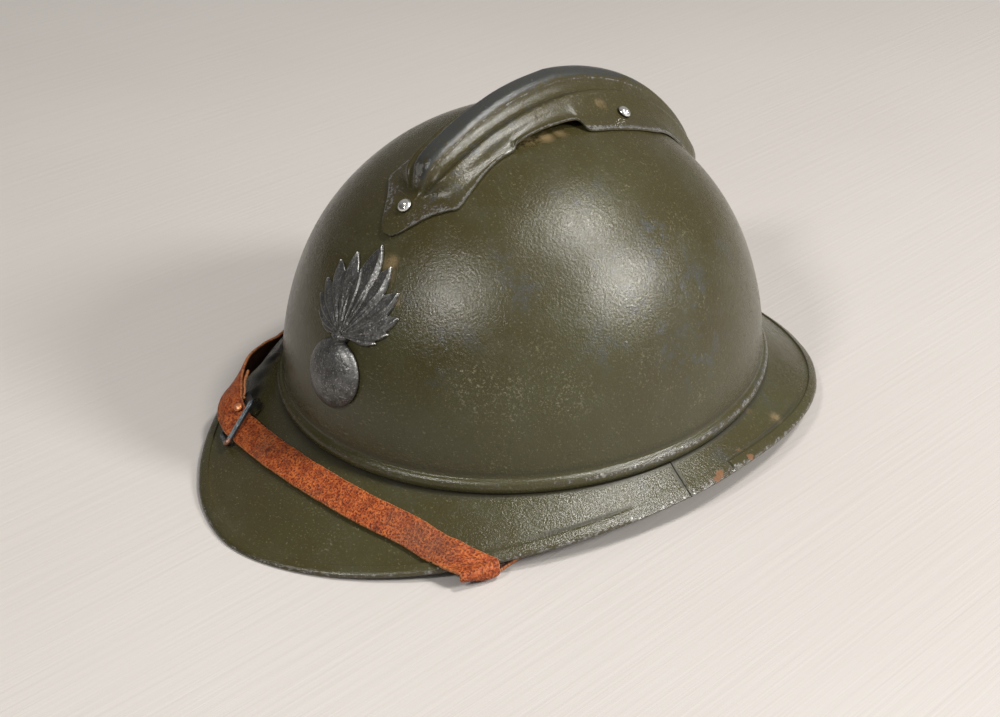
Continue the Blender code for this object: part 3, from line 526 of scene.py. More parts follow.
def paint_finish():
    f = Finish("worn_olive_paint")
    cloud = f.noise(11, 4, 0.55)
    drift = f.noise(42, 6, 0.62)
    smudge = f.noise(120, 5, 0.60)
    speck = f.noise(330, 7, 0.68)
    fine = f.noise(800, 5, 0.68)
    dust = f.noise(1150, 3, 0.6)
    colour = f.mix(f.ramp(cloud, 0.36, 0.66), OLIVE_BROWN, OLIVE)
    for grains, low, high, strength, tint in (
            (drift, 0.46, 0.72, 0.45, OLIVE_GREY), (speck, 0.56, 0.68, 0.34, DARK_SPECK),
            (fine, 0.57, 0.68, 0.30, DARK_SPECK), (dust, 0.60, 0.70, 0.42, PALE_SPECK)):
        colour = f.lay(colour, f.ramp(grains, low, high), strength, tint)
    # fine scratches: noise drawn out into threads, in three directions and only in places
    scratch = None
    for tilt, area in (((0, 20, 35), 17), ((0, -40, -25), 23), ((60, 10, 80), 19)):
        thread = f.ramp(f.noise(1.0, 2, 0.5, stretch=(26, 1500, 1500), tilt=tilt), 0.655, 0.70)
        here = f.times(thread, f.ramp(f.noise(area, 3, 0.6, tilt=tilt), 0.56, 0.70))
        scratch = here if scratch is None else f.most(scratch, here)
    colour = f.lay(colour, scratch, 0.30, SCRATCH)
    # scuffs are swarms of tiny pale nicks, each no longer than a millimetre
    scuff = f.times(f.worn("scuff"), f.most(scratch, f.ramp(fine, 0.55, 0.66)))
    colour = f.lay(colour, scuff, 0.72, SCRATCH)
    tan = f.times(f.worn("tan"), f.ramp(f.plus(smudge, f.times(fine, 0.5)), 0.62, 0.86))
    colour = f.lay(colour, tan, 0.75, TAN_RUB)
    # rubbing leaves soft smudges whose borders fade out, and the bumps of the spray stay olive
    rub = f.times(f.worn("rub"), f.ramp(f.plus(smudge, f.times(speck, 0.8)), 0.86, 1.06))
    rub = f.times(rub, f.ramp(fine, 0.40, 0.58, 1.0, 0.35))
    colour = f.lay(colour, rub, 0.85, BLUE_STEEL)
    black = f.patch("black", f.plus(speck, f.times(drift, 0.3)), 0.46, 0.78, 2.4)
    colour = f.lay(colour, black, 0.88, BLACK_STEEL)
    worn = f.plus(f.times(speck, 0.5), f.times(fine, 0.5))
    rim = f.patch("edge", worn, 0.28, 0.42, 1.8)
    colour = f.lay(colour, rim, 0.60, PRIMER)
    # bare metal at worn edges, and painted highlights along the brim's fold and the comb's ribs
    bright_edge = f.patch("edge", worn, 0.44, 0.62, 2.4)
    colour = f.lay(colour, bright_edge, 0.80, BRIGHT_EDGE)
    rust = f.patch("rust", f.plus(speck, f.times(dust, 0.4)), 0.60, 0.95, 1.6)
    colour = f.lay(colour, rust, 0.8, RUST)
    # dirt in the seams, darker in the comb's groove and the bead's crease, and painted shade under the bead,
    # along the fold and by the strap
    dirt_and_shade = f.times(f.worn("dirt_and_shade"), f.ramp(drift, 0.2, 0.7, 0.7, 1.0))
    colour = f.mix(dirt_and_shade, colour, DIRT_AND_SHADE)
    metal = f.times(f.most(bright_edge, f.times(rub, 0.35)), 0.60)
    metal = f.times(metal, f.minus(1.0, rust))
    rough = f.plus(f.ramp(drift, 0.3, 0.7, 0.17, 0.25), f.ramp(speck, 0.35, 0.7, -0.03, 0.06))
    rough = f.minus(rough, f.times(f.minus(rub, bright_edge), 0.06))
    rough = f.plus(rough, f.times(f.most(rust, dirt_and_shade), 0.50), hold=True)
    peel = f.bump(f.noise(1000, 3, 0.55), 0.00017)
    grit = f.bump(f.noise(2200, 3, 0.6), 0.00009, peel)
    wave = f.bump(f.noise(75, 2, 0.5), 0.00025, grit)
    chips = f.plus(f.times(scratch, -0.6), f.times(bright_edge, -1.0))
    normal = f.bump(f.minus(chips, f.times(rub, 0.5)), 0.00005, wave)
    f.shader.inputs["Specular IOR Level"].default_value = 0.42
    return f.finish(colour, metal, rough, normal)


olive_paint = paint_finish()
print("paint graph:", len(olive_paint.node_tree.nodes), "nodes")


# %% [markdown]
# ## Blackened pewter, bright steel, iron and copper
#
# The badge was blackened all over and its high spots rubbed grey. The rivets are bare and shine,
# with tarnish low on their heads. The buckle is iron wire with a dull grey sheen, one coppery end
# and a highlight painted along the top of its near bar. The small stud is copper. Each is a metal
# with its own mottling and its own dark places.

# %% The metals
def metal_finish(name, base, cloudy, high, low, rough, scale, deep, shine):
    """A mottled metal: cloudy colours, high spots rubbed bright and low ones dark."""
    f = Finish(name)
    cloud = f.noise(scale * 0.28, 5, 0.6)
    speck = f.noise(scale, 6, 0.68)
    thread = f.ramp(f.noise(1.0, 2, 0.5, stretch=(1700, 60, 1700), tilt=(15, 30, 20)), 0.58, 0.66)
    colour = f.mix(f.ramp(cloud, 0.38, 0.62), base, cloudy)
    colour = f.lay(colour, f.ramp(speck, 0.55, 0.68), 0.6, low)
    colour = f.lay(colour, thread, 0.35, high)
    # high spots rubbed bright; on the buckle's near bar this bright mark is a painted highlight
    bright = f.patch("edge", speck, 0.42, 0.66, 1.3)
    colour = f.mix(bright, colour, high)
    rust = f.patch("rust", speck, 0.45, 0.70, 1.2)
    colour = f.lay(colour, rust, 0.85, COPPER_TINT)
    colour = f.mix(f.worn("dirt_and_shade"), colour, low)
    rougher = f.plus(rough, f.ramp(speck, 0.3, 0.7, -0.08, 0.10))
    rougher = f.plus(rougher, f.times(f.worn("dirt_and_shade"), 0.25), hold=True)
    metal = f.times(f.ramp(cloud, 0.3, 0.7, 0.85, 1.0), shine)
    normal = f.bump(speck, deep, f.bump(f.noise(scale * 0.5, 3, 0.5), deep * 2))
    return f.finish(colour, metal, rougher, normal)


COPPER_TINT = (0.30, 0.15, 0.10)
pewter = metal_finish(
    "blackened_pewter", base=(0.068, 0.066, 0.062), cloudy=(0.125, 0.124, 0.120),
    high=(0.52, 0.52, 0.50), low=(0.014, 0.013, 0.012), rough=0.34, scale=620, deep=0.00018, shine=0.72)
bright_steel = metal_finish(
    "bright_rivet_steel", base=(0.72, 0.72, 0.70), cloudy=(0.84, 0.84, 0.82),
    high=(0.96, 0.96, 0.94), low=(0.035, 0.030, 0.026), rough=0.14, scale=700, deep=0.00005, shine=1.0)
black_iron = metal_finish(
    "black_iron_wire", base=(0.055, 0.065, 0.072), cloudy=(0.085, 0.10, 0.11),
    high=(0.34, 0.40, 0.43), low=(0.015, 0.015, 0.016), rough=0.36, scale=800, deep=0.00006, shine=0.85)
copper = metal_finish(
    "copper_of_the_stud", base=(0.55, 0.19, 0.075), cloudy=(0.68, 0.27, 0.12),
    high=(0.95, 0.55, 0.35), low=(0.05, 0.018, 0.010), rough=0.34, scale=900, deep=0.00006, shine=0.7)
print("metals:", [m.name for m in (pewter, bright_steel, black_iron, copper)])


# %% [markdown]
# ## Crackled strap leather
#
# The chin strap is old orange-brown leather. Its grain side has dried into a net of fine cracks,
# with brighter worn edges, dark stains and pale scratches. Its flesh side is dark and dull, and is
# painted darker still as shade. The texture has to follow the strap round its bends, so it reads a
# pair of lengths that the strap's mesh carries, along and across the strap, instead of the object's
# coordinates.

# %% The leather
def leather_finish(name, base, light, dark, edge, stained, cut, cracks):
    """Old leather; cracks says how strongly the net of cracks shows."""
    f = Finish(name)
    along = f.worn("strap_place", "Vector")
    cloud = f.noise(70, 4, 0.6, place=along)
    blotch = f.noise(230, 5, 0.62, place=along)
    grain = f.noise(1500, 4, 0.6, place=along)
    # noise pushes the net's place about, so that its cells are not straight
    push = f.add("TexNoise", {"Vector": along, "Scale": 420}).outputs["Color"]
    wobbly = f.add("VectorMath", {0: push, 1: (NET_PUSH,) * 3, 2: along}, operation="MULTIPLY_ADD")
    wobbly = wobbly.outputs["Vector"]
    net = f.ramp(f.cells(720, wobbly), 0.04, 0.30, 1.0, 0.0)
    fine = f.ramp(f.cells(1600, wobbly), 0.03, 0.18, 1.0, 0.0)
    pit = f.ramp(f.noise(950, 3, 0.6, place=along), 0.50, 0.62)
    colour = f.mix(f.ramp(blotch, 0.36, 0.66), base, light)
    colour = f.lay(colour, f.ramp(cloud, 0.50, 0.66), 0.40, stained)
    raised = f.times(net, f.ramp(blotch, 0.34, 0.62, 0.25, 1.0))
    colour = f.lay(colour, raised, cracks, edge)
    colour = f.lay(colour, fine, cracks * 0.45, light)
    colour = f.lay(colour, pit, 0.72, dark)
    colour = f.lay(colour, f.worn("tan"), f.ramp(grain, 0.40, 0.60, 0.30, 0.85), stained)
    streak = f.ramp(f.noise(1.0, 2, 0.5, stretch=(70, 2300, 1), place=along), 0.64, 0.70)
    streak = f.times(streak, f.ramp(f.noise(45, 2, 0.5, place=along), 0.52, 0.62))
    colour = f.lay(colour, streak, 0.55, edge)
    rim = f.patch("edge", grain, 0.45, 0.75, 1.0)
    colour = f.lay(colour, rim, 0.8, cut)
    stain = f.patch("dirt_and_shade", blotch, 0.35, 0.8, 1.0)
    colour = f.lay(colour, stain, 0.85, dark)
    rough = f.ramp(grain, 0.3, 0.7, 0.42, 0.66)
    f.shader.inputs["Specular IOR Level"].default_value = 0.25
    high = f.minus(f.times(net, 0.6), pit)
    normal = f.bump(high, 0.00020, f.bump(grain, 0.00012, f.bump(blotch, 0.0004)))
    return f.finish(colour, 0.0, rough, normal)


NET_PUSH = 0.0011       # how far the cells of the net are pushed about
leather = leather_finish(
    "crackled_strap_leather", base=(0.155, 0.024, 0.005), light=(0.25, 0.044, 0.009),
    dark=(0.060, 0.011, 0.005), edge=(0.45, 0.128, 0.029), stained=(0.100, 0.048, 0.030),
    cut=(0.44, 0.20, 0.085), cracks=0.74)
# the flesh side is a darker copy of the leather: dark and dull, and darker still as painted shade
shaded_flesh = leather_finish(
    "flesh_side_with_painted_shade", base=(0.040, 0.016, 0.009), light=(0.060, 0.023, 0.011),
    dark=(0.014, 0.007, 0.005), edge=(0.17, 0.060, 0.020), stained=(0.028, 0.014, 0.009),
    cut=(0.24, 0.090, 0.032), cracks=0.22)
print("leather:", leather.name, "with", shaded_flesh.name)


# %% [markdown]
# ## The bowl
#
# The bowl was drawn from one sheet of steel, and its foot was rolled outwards into a bead. It could
# be a squashed sphere, but the real one is a little square in plan and fuller at the back, so each
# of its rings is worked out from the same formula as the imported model, only much finer. Slow noise
# moves the wall by a tenth of a millimetre, as old pressed steel is never quite even. The vent
# under the comb is cut with a Boolean.

# %% Make the bowl
AROUND, CLIMB = 300, 78                 # points round the bowl, and up each side of its wall
WALL_WAVES = (0.035, 0.00022)           # how long the slow waves in the wall are, and how deep
VENT_FROM, VENT_TO = 0.1084, 0.1417     # the cut for the vent goes between these heights


def uneven(point, size, deep):
    """A slow, smooth unevenness of the metal."""
    return noise.noise(point / size) * deep


def bowl_rings():
    """One outline for each angle: down the inner wall, round the bead and up the outer wall."""
    rings = []
    for k in range(AROUND):
        angle = 2 * pi * k / AROUND
        rise = bowl_form(angle)[1]
        start = degrees(asin(STEEL / BOWL_HEIGHT)) / 8
        first = degrees(pi / 2 - acos((BEAD_TALL / BOWL_HEIGHT) ** (rise / 2)))
        inner = [bowl_wall(angle, start + (90 - start) * i / CLIMB, STEEL) for i in range(CLIMB)]
        inner[0].z = BOWL_FOOT + GAP
        outer = [bowl_wall(angle, first + (90 - first) * i / CLIMB) for i in range(CLIMB)]
        outer = [p + p.normalized() * uneven(p, *WALL_WAVES) * soft(i, 2, 14) * soft(CLIMB - i, 2, 14)
                 for i, p in enumerate(outer)]
        wall = (hypot(outer[0].x, outer[0].y), outer[0].z)
        up = (hypot(outer[1].x, outer[1].y), outer[1].z)
        bead = smooth_rows(bead_rows(angle) + [wall, up], 4)[:-4]
        rings.append(inner[::-1] + [on_plan(angle, r, z) for r, z in bead[:-1]] + outer)
    return rings


def settle(piece):
    """Applies a piece's modifiers, so that its mesh is what is seen."""
    bpy.context.view_layer.update()
    seen = piece.evaluated_get(bpy.context.evaluated_depsgraph_get())
    mesh = bpy.data.meshes.new_from_object(seen)
    piece.modifiers.clear()
    piece.data = mesh
    shade(mesh, 50)


def cut_vent(bowl):
    half, straight = VENT_WIDTH / 2, VENT_LENGTH / 2 - VENT_WIDTH / 2
    outline = [(half * cos(pi * k / 12) * end, end * (straight + half * sin(pi * k / 12)))
               for end in (1, -1) for k in range(13)]
    sides = [[Vector((x, y, z)) for x, y in outline] for z in (VENT_FROM, VENT_TO)]
    cutter = put_in("vent", solid_mesh("vent", *loops_mesh(sides)))
    step = bowl.modifiers.new("vent", "BOOLEAN")
    step.object, step.operation, step.solver = cutter, "DIFFERENCE", "EXACT"
    settle(bowl)
    bpy.data.objects.remove(cutter)


def make_bowl():
    rings = bowl_rings()
    count = len(rings[0])
    points = [p for ring in rings for p in ring]
    faces = []
    inner_top, outer_top = len(points), len(points) + 1
    points += [bowl_wall(0, 90, STEEL), bowl_wall(0, 90)]
    for k in range(AROUND):
        a, b = k * count, (k + 1) % AROUND * count
        faces += [(a + j, a + j + 1, b + j + 1, b + j) for j in range(count - 1)]
        faces += [(inner_top, a, b), (a + count - 1, outer_top, b + count - 1)]
    bowl = make_piece("bowl_shell", points, faces, [olive_paint], "olive_paint", ["bowl"], 50)
    cut_vent(bowl)
    return bowl


bowl = make_bowl()


# %% [markdown]
# ### Where the bowl is worn
#
# Real wear sits in certain places: a cloud of blue-grey rubbing at the back of the left side,
# scuffs where the dome shines, a tan smear beside the badge. Each place is named by where it lies in
# the picture. A ray from the camera finds the same place on the bowl, so that the wear belongs to the
# metal and is right from every side.

# %% Mark the wear on the bowl
def surface_of(piece):
    """A piece's faces in a tree that a ray can be cast at."""
    work = bmesh.new()
    work.from_mesh(piece.data)
    tree = BVHTree.FromBMesh(work)
    work.free()
    return tree


bowl_surface = surface_of(bowl)


def found(surface, column, row):
    """The place of a surface that is seen at this place of the picture, and its normal."""
    spot, normal, _, _ = surface.ray_cast(eye, sight(column, row))
    return (spot - SHIFT, normal) if spot else (None, None)


def spots_on(surface, places):
    """(place, radius, strength) for each (column, row, radius in mm, strength)."""
    out = []
    for column, row, radius, strength in places:
        spot = found(surface, column, row)[0]
        if spot:
            out.append((spot, radius / 1000, strength))
    return out


def near_spots(point, spots):
    """How strong the wear of the nearest spot is at a point; it fades out over most of its radius."""
    return max((strength * soft(radius - (point - spot).length, 0, radius * 0.85)
                for spot, radius, strength in spots), default=0.0)


def mark_spots(piece, name, spots, share=1.0):
    mark(piece, name, lambda p: near_spots(p, spots) * share)


# each spot: column, row, radius in mm, strength
RUBBED = (
    (585, 200, 8, 0.8), (600, 188, 7, 0.5), (655, 230, 12, 0.9), (668, 262, 18, 0.8), (690, 290, 20, 0.8),
    (678, 330, 22, 0.75), (700, 360, 18, 0.7), (620, 345, 22, 0.5), (640, 310, 20, 0.5), (560, 345, 14, 0.3),
    (715, 322, 16, 0.6), (725, 250, 12, 0.4), (500, 262, 12, 0.4), (520, 290, 14, 0.5), (450, 330, 20, 0.5),
    (420, 300, 16, 0.4), (440, 370, 14, 0.35), (600, 260, 16, 0.4), (552, 195, 9, 0.3))
SCUFFED = (
    (480, 392, 17, 0.75), (505, 405, 12, 0.6), (515, 385, 12, 0.5), (630, 300, 20, 0.8), (600, 220, 14, 0.7),
    (560, 215, 12, 0.5), (452, 300, 16, 0.6), (627, 186, 4, 1.0), (575, 395, 16, 0.5), (538, 345, 14, 0.4),
    (637, 382, 2.6, 1.0), (668, 390, 2.8, 1.0), (657, 424, 2.2, 1.0), (700, 395, 9, 0.5), (680, 230, 14, 0.5),
    (430, 330, 9, 0.45), (650, 365, 10, 0.6), (700, 300, 10, 0.6), (420, 255, 8, 0.4), (560, 400, 12, 0.5))
TANNED = (
    (391, 262, 4.6, 1.0), (388, 277, 3.8, 0.9), (396, 302, 3.0, 0.8), (524, 144, 4.0, 1.0),
    (532, 141, 5.0, 1.0), (545, 137, 5.0, 0.9), (560, 133, 4.0, 0.6), (330, 365, 3, 0.3), (345, 300, 9, 0.25))
rub_spots, scuff_spots, tan_spots = (spots_on(bowl_surface, t) for t in (RUBBED, SCUFFED, TANNED))


def bead_share(point):
    """A point's angle, its height over the bowl's foot, and how far it stands out from the foot."""
    angle = atan2(point.x, -point.y)
    return angle, point.z - BOWL_FOOT, hypot(point.x, point.y) - foot_radius(angle)


def bead_edge(point):
    """The paint is off along the bead's crest, more so at the sides."""
    angle, tall, out = bead_share(point)
    crest = soft(out, -0.0012, 0.0003) * soft(tall, 0.0028, 0.0042) * soft(0.0072 - tall, 0, 0.0016)
    return crest * (0.30 + 0.22 * soft(abs(degrees(angle)), 40, 70))


def bead_rub(point):
    """Over the temples the whole bead is rubbed blue-grey."""
    angle, tall, out = bead_share(point)
    side = soft(abs(degrees(angle)), 62, 84) * soft(150 - abs(degrees(angle)), 0, 30)
    return soft(out, -0.0019, -0.0005) * soft(0.0078 - tall, 0, 0.002) * side * 0.8


def bead_crease_and_shade(point):
    """Darker in the crease over the bead, and painted shade under it."""
    _, tall, out = bead_share(point)
    crease = soft(tall, 0.0064, 0.0078) * soft(0.0105 - tall, 0, 0.0022) * soft(out, -0.0032, -0.0020)
    # painted shade under the bead
    under = soft(0.0020 - tall, 0, 0.0016) * soft(out, -0.0030, -0.0018)
    return max(crease * 0.40, under * 0.85)


mark(bowl, "rub", lambda p: max(near_spots(p, rub_spots), bead_rub(p)))
mark_spots(bowl, "scuff", scuff_spots)
mark_spots(bowl, "tan", tan_spots)
mark(bowl, "edge", bead_edge)
mark(bowl, "dirt_and_shade", bead_crease_and_shade)
print("wear places found on the bowl:", len(rub_spots) + len(scuff_spots) + len(tan_spots))


# %% [markdown]
# ## The brim
#
# The brim is two pressed halves that meet at a short seam beside each temple. Their edge is folded
# over, and the fold ends a little before the seam, where the bare edge is the most worn. A brim like
# this could be a flat curve with a bevel, but its slope and width change all the way round, so one
# section is swept round the bowl, and the fold is part of the section.

# %% Make the two halves of the brim
FOLD_ENDS = (67.0, 93.0)            # between these angles the fold is pressed flat
FLAT_TOP = 0.40                     # and there its top lies no higher than this share
BRIM_ROWS = 12                      # steps across the sloping sheet
BRIM_AROUND = 330                   # sections in a full turn
BRIM_WAVES = (0.03, 0.00025)        # how long the slow waves in the sheet are, and how deep


def fold_part(angle):
    """1 where the edge is folded over on top, 0 beside the seams."""
    away = abs((degrees(angle) + 180) % 360 - 180)
    return 0.0 if FOLD_ENDS[0] < away < FOLD_ENDS[1] else 1.0


def brim_section(angle):
    """The brim's closed outline at this angle: out along the top, round the hem, back underneath."""
    foot = foot_radius(angle)
    hem = hem_rows(angle)
    slope = brim_slope(angle)
    folded = fold_part(angle)
    if not folded:
        flat = []
        for k, ((_, h), (r, z)) in enumerate(zip(HEM_ROWS, hem)):
            low = min(h, FLAT_TOP) - h if k <= HEM_EDGE else 0.0
            flat.append((r + low * HEM_THICK / 2 * sin(slope), z + low * HEM_THICK / 2 * cos(slope)))
        hem = flat
    # fine nicks and slow dents move the edge, the bare edge beside the seams the most
    edge = on_plan(angle, *hem[HEM_EDGE])
    nick = noise.noise(edge / 0.004) * (0.00012 if folded else 0.00032)
    nick += noise.noise(edge / 0.022 + Vector((3, 1, 2))) * 0.00022
    last = len(HEM_ROWS) - 1
    hem = [(r + nick * sin(pi * k / last), max(z + nick * 0.4 * sin(pi * k / last), 0.0))
           for k, (r, z) in enumerate(hem)]
    out = [(foot - TUCK, BOWL_FOOT), (foot - TUCK / 2, BOWL_FOOT), (foot, BOWL_FOOT)]
    end = (hem[0][0] - foot) / (edge_radius(angle) - foot)
    for i in range(1, BRIM_ROWS):
        part = i / BRIM_ROWS
        reach, height = foot + (hem[0][0] - foot) * part, brim_top(angle, part * end)
        wave = uneven(on_plan(angle, reach, height), *BRIM_WAVES) * sin(pi * part)
        out.append((reach, height + wave))
    under = [(r, z - STEEL) for r, z in reversed(out)]
    return [on_plan(angle, r, z) for r, z in out + hem + under]


def make_brim(name, start, end, node):
    """One half of the brim between two angles, with extra sections close to where the fold ends."""
    steps = round((end - start) / 360 * BRIM_AROUND)
    angles = [start + (end - start) * i / steps for i in range(steps + 1)]
    inset = degrees(SEAM_GAP / 2 / foot_radius(radians(start)))
    angles[0] += inset
    angles[-1] -= inset
    for fold in FOLD_ENDS:
        for stop in (fold, -fold, 360 - fold):
            for off in (-0.12, 0.12):
                if start < stop + off < end:
                    angles.append(stop + off)
    sections = [brim_section(radians(a)) for a in sorted(angles)]
    return make_piece(name, *loops_mesh(sections), [olive_paint], "olive_paint", [node], 38)


visor = make_brim("visor_brim", -SEAM_ANGLE, SEAM_ANGLE, "front_visor")
guard = make_brim("neck_brim", SEAM_ANGLE, 360 - SEAM_ANGLE, "neck_guard")
brim_surfaces = [surface_of(visor), surface_of(guard)]


# %% [markdown]
# ### Where the brim is worn
#
# A rim touches everything. Its outer edge is rubbed to metal, rust comes out from underneath, and
# beside the seams the bare edge is bright and lumpy. Dust and old oil lie in the seam. A highlight
# is painted along the fold's inner border, and shadow just inside it, under the bead and beside the
# strap.

# %% Mark the wear on the brim
def brim_places(places):
    return [s for surface in brim_surfaces for s in spots_on(surface, places)]


# scuffs; the largest one, on the visor's shine, is partly a painted highlight
brim_scuffs_and_sheen = brim_places((
    (622, 499, 9, 0.9), (590, 508, 9, 0.6), (776, 418, 4.5, 1.0), (745, 414, 5, 0.7),
    (320, 500, 12, 0.35), (520, 520, 14, 0.35), (695, 470, 6, 0.5), (330, 545, 14, 0.3)))
brim_rust = brim_places((
    (720, 474, 3.2, 1.0), (752, 457, 2.6, 0.9), (716, 479, 2.6, 0.8), (738, 449, 1.8, 0.5)))
brim_rubs = brim_places((
    (640, 492, 16, 0.35), (720, 455, 12, 0.4), (770, 395, 14, 0.4), (420, 500, 18, 0.2)))
brim_tan = brim_places(((776, 418, 4, 0.8), (748, 410, 3, 0.5), (701, 497, 2, 0.5)))
# painted shadow on the brim under the standing part of the strap
painted_strap_shadow_spots = brim_places((
    (262, 374, 8, 0.85), (256, 392, 7, 0.85), (270, 360, 7, 0.85), (254, 408, 5, 0.6),
    (266, 352, 7, 0.8)))


def edge_share(point):
    """A point's angle, how far in from the brim's edge it lies, and its height over the hem's middle."""
    angle = atan2(point.x, -point.y)
    reach, slope = hypot(point.x, point.y), brim_slope(angle)
    middle = hem_rows(angle)[HEM_EDGE]
    out, up = reach - middle[0], point.z - middle[1]
    return angle, edge_radius(angle) - reach, up * cos(slope) + out * sin(slope)


def brim_edge_and_highlight(point):
    """Bare metal on the outermost rim and wide beside the seams, and a painted highlight on the fold's inner
    border.
    """
    angle, inward, up = edge_share(point)
    away = abs(degrees(angle))
    if inward > 0.0075:
        return 0.0
    rim = soft(0.0013 - inward, 0, 0.0012) * soft(up, -0.0006, 0.0003)
    rim *= 0.42 + 0.08 * soft(away, 30, 60)
    # painted highlight along the fold's raised inner border
    border_highlight = soft(0.0007 - abs(inward - 0.0047), 0, 0.0006) * soft(up, 0.0004, 0.0010) * 0.42
    bright_edge = soft(away, 58, 66) * soft(100 - away, 0, 6) * soft(0.0030 - inward, 0, 0.0020)
    return max(rim, border_highlight, bright_edge * soft(up, -0.0004, 0.0002) * 0.46)


def brim_rust_rule(point):
    """Rust comes out from under the edge, and sits in a few places on top."""
    _, inward, up = edge_share(point)
    under = soft(0.0014 - inward, 0, 0.0012) * soft(0.0002 - up, 0, 0.0007) * 0.62
    return max(under, near_spots(point, brim_rust))


def brim_seam_dirt_and_shade(point):
    """Dirt in the seam, and painted shadow inside the fold's border, under the bead and by the strap."""
    angle, inward, up = edge_share(point)
    # painted shadow just inside the fold's raised border
    fold_border_shadow = soft(0.00055 - abs(inward - 0.0053), 0, 0.0005) * fold_part(angle) * 0.85
    fold_border_shadow = fold_border_shadow if up > -0.0008 else 0
    depth = hypot(point.x, point.y) - foot_radius(angle)
    # painted shadow under the bead
    bead_shadow = soft(0.0016 - depth, 0, 0.0022) * 0.95
    seam = soft(0.0008 - abs(abs(degrees(angle)) - SEAM_ANGLE) * 0.0019, 0, 0.0006) * 0.75
    seam *= 1.0 if inward > 0.004 else 0.3
    # painted shadow beside the standing strap
    return max(fold_border_shadow, bead_shadow, seam, near_spots(point, painted_strap_shadow_spots) * soft(up, -0.0008, 0.0))


for half in (visor, guard):
    mark(half, "edge", brim_edge_and_highlight)
    mark(half, "rust", brim_rust_rule)
    mark(half, "dirt_and_shade", brim_seam_dirt_and_shade)
    for name, spots in (("scuff", brim_scuffs_and_sheen), ("rub", brim_rubs), ("tan", brim_tan)):
        mark_spots(half, name, spots)
print("places marked on the brim:", len(brim_scuffs_and_sheen) + len(brim_rust) + len(brim_rubs))


# %% [markdown]
# ## The comb
#
# The comb is a thin pressed crest with a top rib, a lower rib on each side and a concave skirt. It
# sits on the bowl like a saddle, is drawn in at both noses, and leaves an air slot along each side.
# A bevelled curve has one section only, while this one changes all along, so a table gives the
# shares of its width, height and slot at each station, and a smooth curve runs through them.

# %% The comb's table and sections
COMB_HEIGHT, COMB_HALF, COMB_SEAT = 0.0154, 0.0275, 0.0006
RIB_HALF, STEP_OUT, NOTCH_LIFT = 0.0048, 0.0092, 0.0043
COMB_SECTIONS = (
    # station  half  crest  lift
    (47.0, 0.07, 0.00, 0.0), (48.5, 0.18, 0.00, 0.0), (51.5, 0.31, 0.00, 0.0), (54.5, 0.44, 0.01, 0.0),
    (57.2, 0.60, 0.05, 0.0), (58.6, 0.70, 0.16, 0.0), (60.0, 0.72, 0.38, 0.0), (61.8, 0.70, 0.58, 0.0),
    (65.0, 0.67, 0.68, 0.0), (69.5, 0.61, 0.72, 0.0), (74.0, 0.58, 0.78, 0.0), (78.0, 0.60, 0.82, 0.0),
    (79.4, 0.61, 0.84, 1.0), (83.5, 0.62, 0.90, 1.0), (88.5, 0.64, 0.95, 1.0), (93.2, 0.70, 0.99, 1.0),
    (94.8, 0.88, 1.00, 0.0), (100.0, 0.96, 0.95, 0.0), (107.0, 1.00, 0.885, 0.0), (114.0, 0.98, 0.835, 0.0),
    (120.0, 0.86, 0.80, 0.0), (128.0, 0.72, 0.765, 0.0), (136.0, 0.64, 0.75, 0.0), (141.5, 0.66, 0.72, 0.0),
    (145.0, 0.70, 0.62, 0.0), (147.2, 0.72, 0.42, 0.0), (149.0, 0.68, 0.16, 0.0), (152.5, 0.48, 0.02, 0.0),
    (156.5, 0.26, 0.00, 0.0), (159.0, 0.08, 0.00, 0.0),
)
# out is a share of the rib, then of the way to the second rib, then of the skirt
RIB_ROWS = ((0.0, 1.00), (0.50, 0.985), (0.84, 0.925), (1.00, 0.82))
STEP_ROWS = ((0.20, 0.665), (0.50, 0.575), (0.78, 0.565), (1.00, 0.53))
SKIRT_ROWS = ((0.14, 0.78), (0.30, 0.47), (0.48, 0.20), (0.70, 0.05), (1.00, 0.00))
# the pressing seen close up: a groove, then a rounded second rib so many metres wide, then the hollow
GROOVE_ROWS = ((0.16, 0.67), (0.42, 0.545), (0.72, 0.50), (1.00, 0.495))
RIB_WIDTH, SECOND_RIB = 0.0040, ((0.22, 1.06), (0.45, 1.13), (0.70, 1.04), (1.00, 0.72))
SLOT_SEEN = 0.0030      # the visible slot is this high at its lip
HOLLOW_ROWS = ((0.16, 0.44), (0.36, 0.18), (0.64, 0.04), (1.00, 0.00))


def drawn_in(half, crest):
    """How far the ribs are drawn in where the comb is low or narrow."""
    return min(1, 0.35 + 0.65 * crest / (0.72 * COMB_HEIGHT), half / (STEP_OUT * 1.6))


def pressed_half_rows(section, steps):
    """Half a section of the visible comb, with its second rib and its air slot."""
    half, crest = section[1] * COMB_HALF, section[2] * COMB_HEIGHT
    lip = clamp(section[3]) * SLOT_SEEN
    calm = soft(section[0], 72, 86) * soft(103 - section[0], 0, 14) * SLOT_SEEN * 0.9
    pinch = drawn_in(half, crest)
    rib, step, width = RIB_HALF * pinch, STEP_OUT * pinch, RIB_WIDTH * pinch
    rows = [(share * rib, high * crest) for share, high in RIB_ROWS]
    rows += [(rib + share * (step - rib), high * crest) for share, high in GROOVE_ROWS]
    brow = GROOVE_ROWS[-1][1] * crest
    outer = [(step + share * width, high) for share, high in SECOND_RIB]
    outer += [(step + width + share * (half - step - width), high) for share, high in HOLLOW_ROWS]
    for across, high in outer:
        lift = calm + (lip - calm) * clamp((across - step) / (half - step)) ** 5
        rows.append((across, lift + high * (brow - lift)))
    return smooth_rows(rows, steps)


